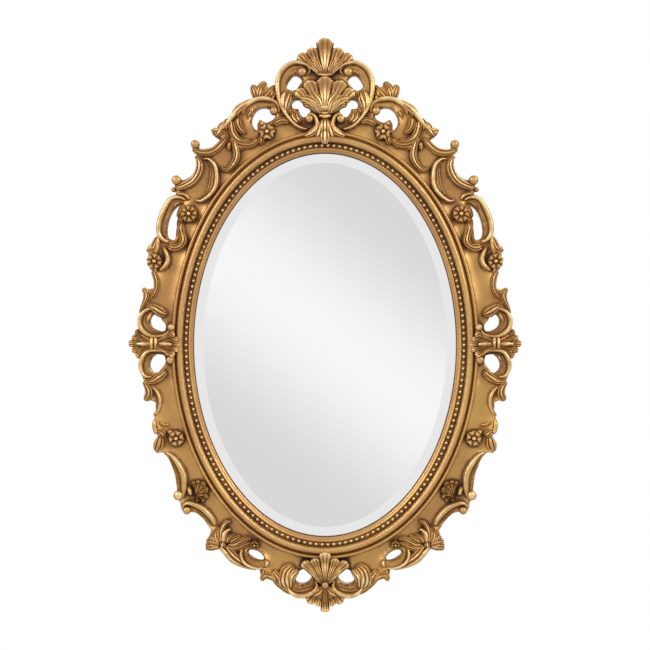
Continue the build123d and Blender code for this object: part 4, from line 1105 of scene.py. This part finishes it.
class Shader:
    def __init__(self, name, owner=None):
        self.material = owner or bpy.data.materials.new(name)
        self.material.use_nodes = True
        self.tree = self.material.node_tree
        self.tree.nodes.clear()
        self.place = self.node("ShaderNodeTexCoord", {}, {}, "Object")

    def node(self, kind, settings, inputs, output=0):
        made = self.tree.nodes.new(kind)
        for key, value in settings.items():
            setattr(made, key, value)
        for key, value in inputs.items():
            if isinstance(value, Value):
                self.tree.links.new(value.socket, made.inputs[key])
            else:
                made.inputs[key].default_value = value
        return Value(self, made.outputs[output])

    def noise(self, scale, detail, roughness, place=None):
        return self.node("ShaderNodeTexNoise", {}, {"Vector": place or self.place, "Scale": scale,
                                                    "Detail": detail, "Roughness": roughness})

    def part(self, axis):
        return self.node("ShaderNodeSeparateXYZ", {}, {0: self.place}, axis)

    def attribute(self, label):
        return self.node("ShaderNodeAttribute", {"attribute_name": label}, {}, "Fac")

    def mix(self, share, first, second):
        return self.node("ShaderNodeMix", {"data_type": "RGBA"}, {0: share, 6: first, 7: second}, 2)

    def bump(self, height, strength, distance):
        inputs = {"Height": height, "Strength": strength, "Distance": distance}
        return self.node("ShaderNodeBump", {}, inputs)

    def show(self, shader, kind="ShaderNodeOutputMaterial"):
        output = self.tree.nodes.new(kind)
        self.tree.links.new(shader.socket, output.inputs[0])
        return self.material

    def finish(self, **inputs):
        names = {"base": "Base Color", "rough": "Roughness", "metal": "Metallic", "normal": "Normal",
                 "coat": "Coat Weight", "coatRough": "Coat Roughness", "sheen": "Sheen Weight"}
        sockets = {names[key]: value for key, value in inputs.items()}
        return self.show(self.node("ShaderNodeBsdfPrincipled", {}, sockets))


def rgb(red, green, blue):
    # A colour as it is seen, 0 to 255, made linear
    shares = [c / 255 for c in (red, green, blue)]
    return tuple(c / 12.92 if c <= 0.04045 else ((c + 0.055) / 1.055) ** 2.4 for c in shares) + (1.0,)


giltLook = {
    "leaf": rgb(196, 151, 84),
    "warmLeaf": rgb(184, 135, 77),
    # pale gold on high points: wear and painted highlight
    "wornAndHighlight": rgb(244, 216, 162),
    # brown in hollows: patina and painted shade
    "patinaAndShade": rgb(110, 68, 26),
    # darkest brown in deep gaps: painted shade and patina
    "deepShadeAndPatina": rgb(58, 30, 8),
    "grain": 900.0,
    "mottle": 38.0,
    "metallic": 0.62,
}


def giltMaterial(name, hollowDarkening=1.0):
    s = Shader(name)
    hollow, proud = s.attribute("hollow"), s.attribute("proud")
    mottle = s.noise(giltLook["mottle"], 5.0, 0.62)
    cloud = s.noise(11.0, 3.0, 0.5)
    grain = s.noise(giltLook["grain"], 3.0, 0.6)
    rubbed = s.noise(240.0, 4.0, 0.65)
    leaf = s.mix(cloud.between(0.38, 0.62), giltLook["leaf"], giltLook["warmLeaf"])
    # Pale gold on high points: wear and painted highlight
    bright = (proud * 1.2 + (rubbed - 0.5) * 0.5).between(0.3, 0.95)
    leaf = s.mix(bright * 0.85, leaf, giltLook["wornAndHighlight"])
    # Brown in hollows and low ground: patina and painted shade, with random dirt
    dirtAndShade = (hollow * (1.25 * hollowDarkening) + (mottle - 0.5) * 0.7 + (rubbed - 0.5) * 0.25).between(0.12, 0.88)
    leaf = s.mix(dirtAndShade, leaf, giltLook["patinaAndShade"])
    specks = s.noise(150.0, 6.0, 0.75)
    leaf = s.mix((specks + hollow * 0.12).between(0.6, 0.74) * 0.55, leaf, giltLook["patinaAndShade"])
    # Darkest brown in deep gaps: painted shade and patina
    deep = (hollow * 1.1 + (mottle - 0.5) * 0.3).between(0.5, 1.05)
    leaf = s.mix(deep, leaf, giltLook["deepShadeAndPatina"])
    height = grain * 0.35 + rubbed * 0.65
    return s.finish(base=leaf, rough=0.36 + dirtAndShade * 0.24 + (grain - 0.5) * 0.12 + cloud * 0.06,
                    metal=giltLook["metallic"] * (1 - dirtAndShade * 0.6),
                    normal=s.bump(height, 0.35, 0.00035), coat=0.1, coatRough=0.35)


def plainMetal(name, colour, dull, roughness, grainScale):
    s = Shader(name)
    grain = s.noise(grainScale, 5.0, 0.6)
    cloud = s.noise(60.0, 3.0, 0.5)
    base = s.mix(cloud.between(0.35, 0.7), colour, dull)
    return s.finish(base=base, rough=roughness + (grain - 0.5) * 0.2, metal=1.0,
                    normal=s.bump(grain, 0.2, 0.0002))


def hardboardMaterial():
    s = Shader("hardboardBack")
    fibre = s.noise(1400.0, 6.0, 0.7)
    flecks = s.noise(420.0, 5.0, 0.7)
    cloud = s.noise(14.0, 3.0, 0.5)
    base = s.mix(cloud.between(0.35, 0.65), rgb(138, 101, 66), rgb(130, 93, 60))
    base = s.mix(flecks.between(0.55, 0.75) * 0.5, base, rgb(88, 58, 34))
    return s.finish(base=base, rough=0.75 + (fibre - 0.5) * 0.2,
                    normal=s.bump(fibre * 0.5 + flecks * 0.5, 0.5, 0.0005))


def boardMaterial():
    # Board sides and back: brown bole with rubbed gold at the front edges
    s = Shader("boardWood")
    depth = s.part("Y")
    stretched = s.node("ShaderNodeMapping", {}, {"Vector": s.place, "Scale": (60.0, 60.0, 6.0)})
    grainLines = s.noise(9.0, 6.0, 0.65, stretched)
    fine = s.noise(700.0, 4.0, 0.6)
    cloud = s.noise(16.0, 3.0, 0.5)
    wood = s.mix(grainLines.between(0.35, 0.65), rgb(120, 82, 46), rgb(88, 56, 28))
    wood = s.mix(cloud.between(0.45, 0.75) * 0.5, wood, rgb(66, 40, 20))
    gilt = (depth * -1.0 + (cloud - 0.5) * 0.006).between(0.001, 0.006)
    base = s.mix(gilt, wood, rgb(168, 122, 62))
    return s.finish(base=base, rough=0.62 - gilt * 0.2 + (fine - 0.5) * 0.15, metal=gilt * 0.75,
                    normal=s.bump(fine * 0.4 + grainLines * 0.6, 0.35, 0.0004))


def feltMaterial():
    s = Shader("feltPads")
    fibre = s.noise(2600.0, 6.0, 0.75)
    cloud = s.noise(180.0, 4.0, 0.6)
    base = s.mix(cloud.between(0.35, 0.65), rgb(96, 74, 56), rgb(74, 56, 42))
    return s.finish(base=base, rough=0.95, sheen=0.4, normal=s.bump(fibre, 0.8, 0.0008))


def mirrorMaterial():
    s = Shader("silveredGlass")
    depth = s.part("Y")
    haze = s.noise(5.0, 2.0, 0.5)
    back = (depth * 1.0).between(-0.0086, -0.0078)  # the painted back of the glass
    base = s.mix(back, (0.93, 0.93, 0.93, 1.0), rgb(70, 74, 76))
    return s.finish(base=base, rough=0.012 + haze * 0.01 + back * 0.5, metal=1 - back)


finishes = {
    # Gilt with painted shade in its hollows and painted highlight on its high points, besides patina and
    # wear
    "gilt": giltMaterial("agedGiltPaintedLight"),
    "moulding": giltMaterial("agedGiltMouldingPaintedLight", 0.85),
    "board": boardMaterial(),
    "hardboard": hardboardMaterial(),
    "zinc": plainMetal("zincPlate", rgb(196, 198, 200), rgb(160, 163, 166), 0.36, 500.0),
    "screw": plainMetal("yellowZinc", rgb(214, 190, 128), rgb(176, 152, 98), 0.34, 600.0),
    "felt": feltMaterial(),
    "mirror": mirrorMaterial(),
}
print("materials:", len(finishes))


def dress(made, material):
    made.data.materials.clear()
    made.data.materials.append(finishes[material])
    return made


def gildedPiece(name, carving, angle=42, material="gilt"):
    made = smoothMesh(name, toWorld(carving.points).tolist(), carving.faces)
    if len(made.data.vertices) == len(carving.points):
        addWearAndShade(made, carving.points)
    sharpen(made, angle)
    dress(made, material)
    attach(made, "frame")
    return made


for node, carving in carvings.items():
    made = gildedPiece("carved_" + node, carving)
    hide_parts(node)
mouldingPiece = gildedPiece("moulding_swept", moulding, 50, "moulding")
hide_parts("sight_moulding")
facingPiece = gildedPiece("board_facing", facing, 50)


# Bead string: one bead repeated along the oval by Geometry Nodes
beads = {"radius": 2.9, "offset": 10.9, "rise": 7.6, "pitch": 9.45, "around": 12, "high": 6,
         "smallest": 0.97, "largest": 1.03, "seed": 7}


def beadTree():
    tree = bpy.data.node_groups.new("beadRow", "GeometryNodeTree")
    tree.interface.new_socket("Geometry", in_out="OUTPUT", socket_type="NodeSocketGeometry")
    for label, kind in (("Half Width", "Float"), ("Half Height", "Float"), ("Depth", "Float"),
                        ("Bead Radius", "Float"), ("Bead Count", "Int"), ("Bead Material", "Material")):
        tree.interface.new_socket(label, in_out="INPUT", socket_type="NodeSocket" + kind)

    def add(kind, **values):
        made = tree.nodes.new(kind)
        for label, value in values.items():
            made.inputs[label].default_value = value
        return made

    entry, leave = add("NodeGroupInput"), add("NodeGroupOutput")
    circle = add("GeometryNodeCurvePrimitiveCircle", Resolution=360, Radius=1.0)
    stretch, shift = add("ShaderNodeCombineXYZ", Z=1.0), add("ShaderNodeCombineXYZ")
    shape = add("GeometryNodeTransform", Rotation=(math.pi / 2, 0, 0))
    spread = add("GeometryNodeResampleCurve")
    ball = add("GeometryNodeMeshUVSphere", Segments=beads["around"], Rings=beads["high"])
    smooth, place = add("GeometryNodeSetShadeSmooth"), add("GeometryNodeInstanceOnPoints")
    size = add("FunctionNodeRandomValue")
    size.data_type = "FLOAT_VECTOR"
    size.inputs["Min"].default_value = (beads["smallest"],) * 3
    size.inputs["Max"].default_value = (beads["largest"],) * 3
    size.inputs["Seed"].default_value = beads["seed"]
    real, finish = add("GeometryNodeRealizeInstances"), add("GeometryNodeSetMaterial")
    for source, output, target, label in (
        (entry, "Half Width", stretch, "X"), (entry, "Half Height", stretch, "Y"),
        (circle, 0, shape, "Geometry"), (stretch, 0, shape, "Scale"), (entry, "Depth", shift, "Y"),
        (shift, 0, shape, "Translation"),
        (shape, 0, spread, "Curve"), (entry, "Bead Count", spread, "Count"), (spread, 0, place, "Points"),
        (entry, "Bead Radius", ball, "Radius"), (ball, 0, smooth, 0), (smooth, 0, place, "Instance"),
        (size, 0, place, "Scale"), (place, 0, real, 0), (real, 0, finish, 0),
        (entry, "Bead Material", finish, "Material"), (finish, 0, leave, 0),
    ):
        tree.links.new(source.outputs[output], target.inputs[label])
    return tree


def makeBeads():
    a = opening["halfWidth"] + beads["offset"]
    b = opening["halfHeight"] + beads["offset"]
    around = math.pi * (3 * (a + b) - math.sqrt((3 * a + b) * (a + 3 * b)))
    holder = smoothMesh("bead_holder", [(0, 0, 0)], [])
    modifier = holder.modifiers.new("beadRow", "NODES")
    tree = beadTree()
    modifier.node_group = tree
    values = {"Half Width": a * mm, "Half Height": b * mm,
              "Depth": (opening["boardFront"] - beads["rise"]) * mm,
              "Bead Radius": beads["radius"] * mm, "Bead Count": round(around / beads["pitch"]),
              "Bead Material": finishes["gilt"]}
    for item in tree.interface.items_tree:
        if item.name in values:
            modifier[item.identifier] = values[item.name]
    graph = bpy.context.evaluated_depsgraph_get()
    mesh = bpy.data.meshes.new_from_object(holder.evaluated_get(graph))
    bpy.data.objects.remove(holder)
    made = bpy.data.objects.new("bead_row", mesh)
    bpy.context.scene.collection.objects.link(made)
    co = np.empty(len(mesh.vertices) * 3)
    mesh.vertices.foreach_get("co", co)
    co = co.reshape(-1, 3) / mm
    rise = opening["boardFront"] - co[:, 1] - beads["rise"]
    # Bead bottoms darker and tops lighter: patina and painted shade, wear and painted highlight
    storeWearAndShade(mesh, np.clip(0.45 - rise / 3.6, 0, 1), np.clip(rise / 4.4, 0, 0.6))
    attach(made, "frame")
    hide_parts("bead_string")
    return made


beadRow = makeBeads()
print("beads:", len(beadRow.data.polygons), "faces")


# Mirror plate: flat face, wide bevel, thin ground edge
glass = {"edgeOffset": 6.0, "bevel": 16.0, "front": -11.28, "bevelDepth": 1.6, "back": -7.28,
         "corners": 512}


def makeGlass():
    count, edge = glass["corners"], glass["edgeOffset"]
    rows = [(edge, glass["back"]), (edge, glass["front"] + glass["bevelDepth"]),
            (-glass["bevel"], glass["front"])]
    points = []
    for offset, y in rows:
        points += [(x * mm, y * mm, z * mm) for x, z in ringPoints(count, offset)]
    faces = [[r + i, r + (i + 1) % count, r + count + (i + 1) % count, r + count + i]
             for r in (0, count) for i in range(count)]
    faces.append(list(range(count))[::-1])
    faces.append([2 * count + i for i in range(count)])
    made = smoothMesh("mirror_plate", points, faces)
    work = bmesh.new()
    work.from_mesh(made.data)
    bmesh.ops.recalc_face_normals(work, faces=work.faces)
    work.to_mesh(made.data)
    work.free()
    sharpen(made, 2.0)
    dress(made, "mirror")
    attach(made, "frame")
    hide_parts("mirror_glass")
    return made


makeGlass()
for node, material in (("frame_base", "board"), ("backing_board", "hardboard"), ("retaining_clips", "zinc"),
                       ("clip_screws", "screw"), ("hanger_straps", "zinc"), ("hanger_screws", "screw"),
                       ("d_ring_right", "zinc"), ("d_ring_left", "zinc"), ("wall_pads", "felt")):
    dress(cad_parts[node], material)
print("all parts dressed")


# Studio
studio = {"distance": 3.0, "lens": 103.8, "centre": 0.032, "floor": -2.0, "floorSize": 8.0, "white": 1.0,
          "ambient": 0.42}


def shownRays(shader):
    # Rays of the camera, of metal and of glass, which all see the white background
    camera, glossy, through = (shader.node("ShaderNodeLightPath", {}, {}, label)
                               for label in ("Is Camera Ray", "Is Glossy Ray", "Is Transmission Ray"))
    return camera + glossy + through


def paleFloor():
    s = Shader("paleFloor")
    diffuse = s.node("ShaderNodeBsdfDiffuse", {}, {"Color": rgb(236, 236, 236)})
    glow = s.node("ShaderNodeEmission", {}, {"Color": (1, 1, 1, 1), "Strength": studio["white"]})
    return s.show(s.node("ShaderNodeMixShader", {}, {0: shownRays(s), 1: diffuse, 2: glow}))


def stageSheet(name, corners, material):
    sheet = smoothMesh(name, corners, [[0, 1, 2, 3]])
    sheet.data.materials.append(material)
    return sheet


def makeFloor():
    size, z = studio["floorSize"], studio["floor"]
    corners = [(-size, -size, z), (size, -size, z), (size, size, z), (-size, size, z)]
    stageSheet("studio_floor", corners, paleFloor())


def glowingCardMaterial():
    # Glow painted for reflections: a bright band down from the upper left, and an even grey round the part
    # that the mirror shows
    s = Shader("glowingCardForReflections")
    x, z = s.part("X"), s.part("Z")
    lean = ((x * 0.6 + z * 0.8) ** 2.0) ** 0.5
    band = lean.between(0.02, 0.48, 0.99, 0.738)
    around = ((x * 2.0) ** 2.0 + (z * 1.39) ** 2.0) ** 0.5
    strength = band + (0.86 - band) * around.between(1.05, 1.35)
    return s.show(s.node("ShaderNodeEmission", {}, {"Color": rgb(255, 255, 255), "Strength": strength}))


card = {"behind": 0.6, "halfWidth": 2.6, "low": -2.0, "high": 2.6}


def glowingCard():
    # A glowing sheet behind the camera, hidden from the camera and from diffuse rays: a painted reflection
    # that the mirror and the gilding show
    y, wide, low, high = -studio["distance"] - card["behind"], card["halfWidth"], card["low"], card["high"]
    corners = [(-wide, y, low), (wide, y, low), (wide, y, high), (-wide, y, high)]
    sheet = stageSheet("glowing_card", corners, glowingCardMaterial())
    sheet.visible_camera = False
    sheet.visible_diffuse = False


def makeWorld():
    world = bpy.data.worlds.new("paleWorld")
    bpy.context.scene.world = world
    s = Shader("paleWorld", world)
    low = s.node("ShaderNodeBackground", {}, {"Color": (1, 1, 1, 1), "Strength": studio["ambient"]})
    high = s.node("ShaderNodeBackground", {}, {"Color": (1, 1, 1, 1), "Strength": studio["white"]})
    s.show(s.node("ShaderNodeMixShader", {}, {0: shownRays(s), 1: low, 2: high}), "ShaderNodeOutputWorld")


lamps = {
    "rightLamp": {"place": (1.9, -1.6, 1.3), "size": (1.0, 1.2), "power": 34},
    "leftLamp": {"place": (-1.9, -1.6, 1.2), "size": (1.0, 1.2), "power": 30},
    "backLamp": {"place": (0.6, 2.2, 1.4), "size": (1.5, 1.5), "power": 18},
}


def softLamp(name, place, size, power):
    lamp = bpy.data.lights.new(name, "AREA")
    lamp.shape, lamp.size, lamp.size_y, lamp.energy = "RECTANGLE", size[0], size[1], power
    made = bpy.data.objects.new(name, lamp)
    bpy.context.scene.collection.objects.link(made)
    made.location = place
    made.rotation_euler = (-Vector(place)).to_track_quat("-Z", "Y").to_euler()


makeFloor()
glowingCard()
makeWorld()
for name, look in lamps.items():
    softLamp(name, **look)

lens = bpy.data.cameras.new("photoCamera")
lens.lens, lens.sensor_width, lens.clip_end = studio["lens"], 36.0, 100.0
camera = bpy.data.objects.new("photoCamera", lens)
bpy.context.scene.collection.objects.link(camera)
camera.location = (0.0, -studio["distance"] - 0.028, studio["centre"])
camera.rotation_euler = (math.pi / 2, 0, 0)
bpy.context.scene.camera = camera
bpy.context.scene.view_settings.view_transform = "Standard"
print("studio ready")
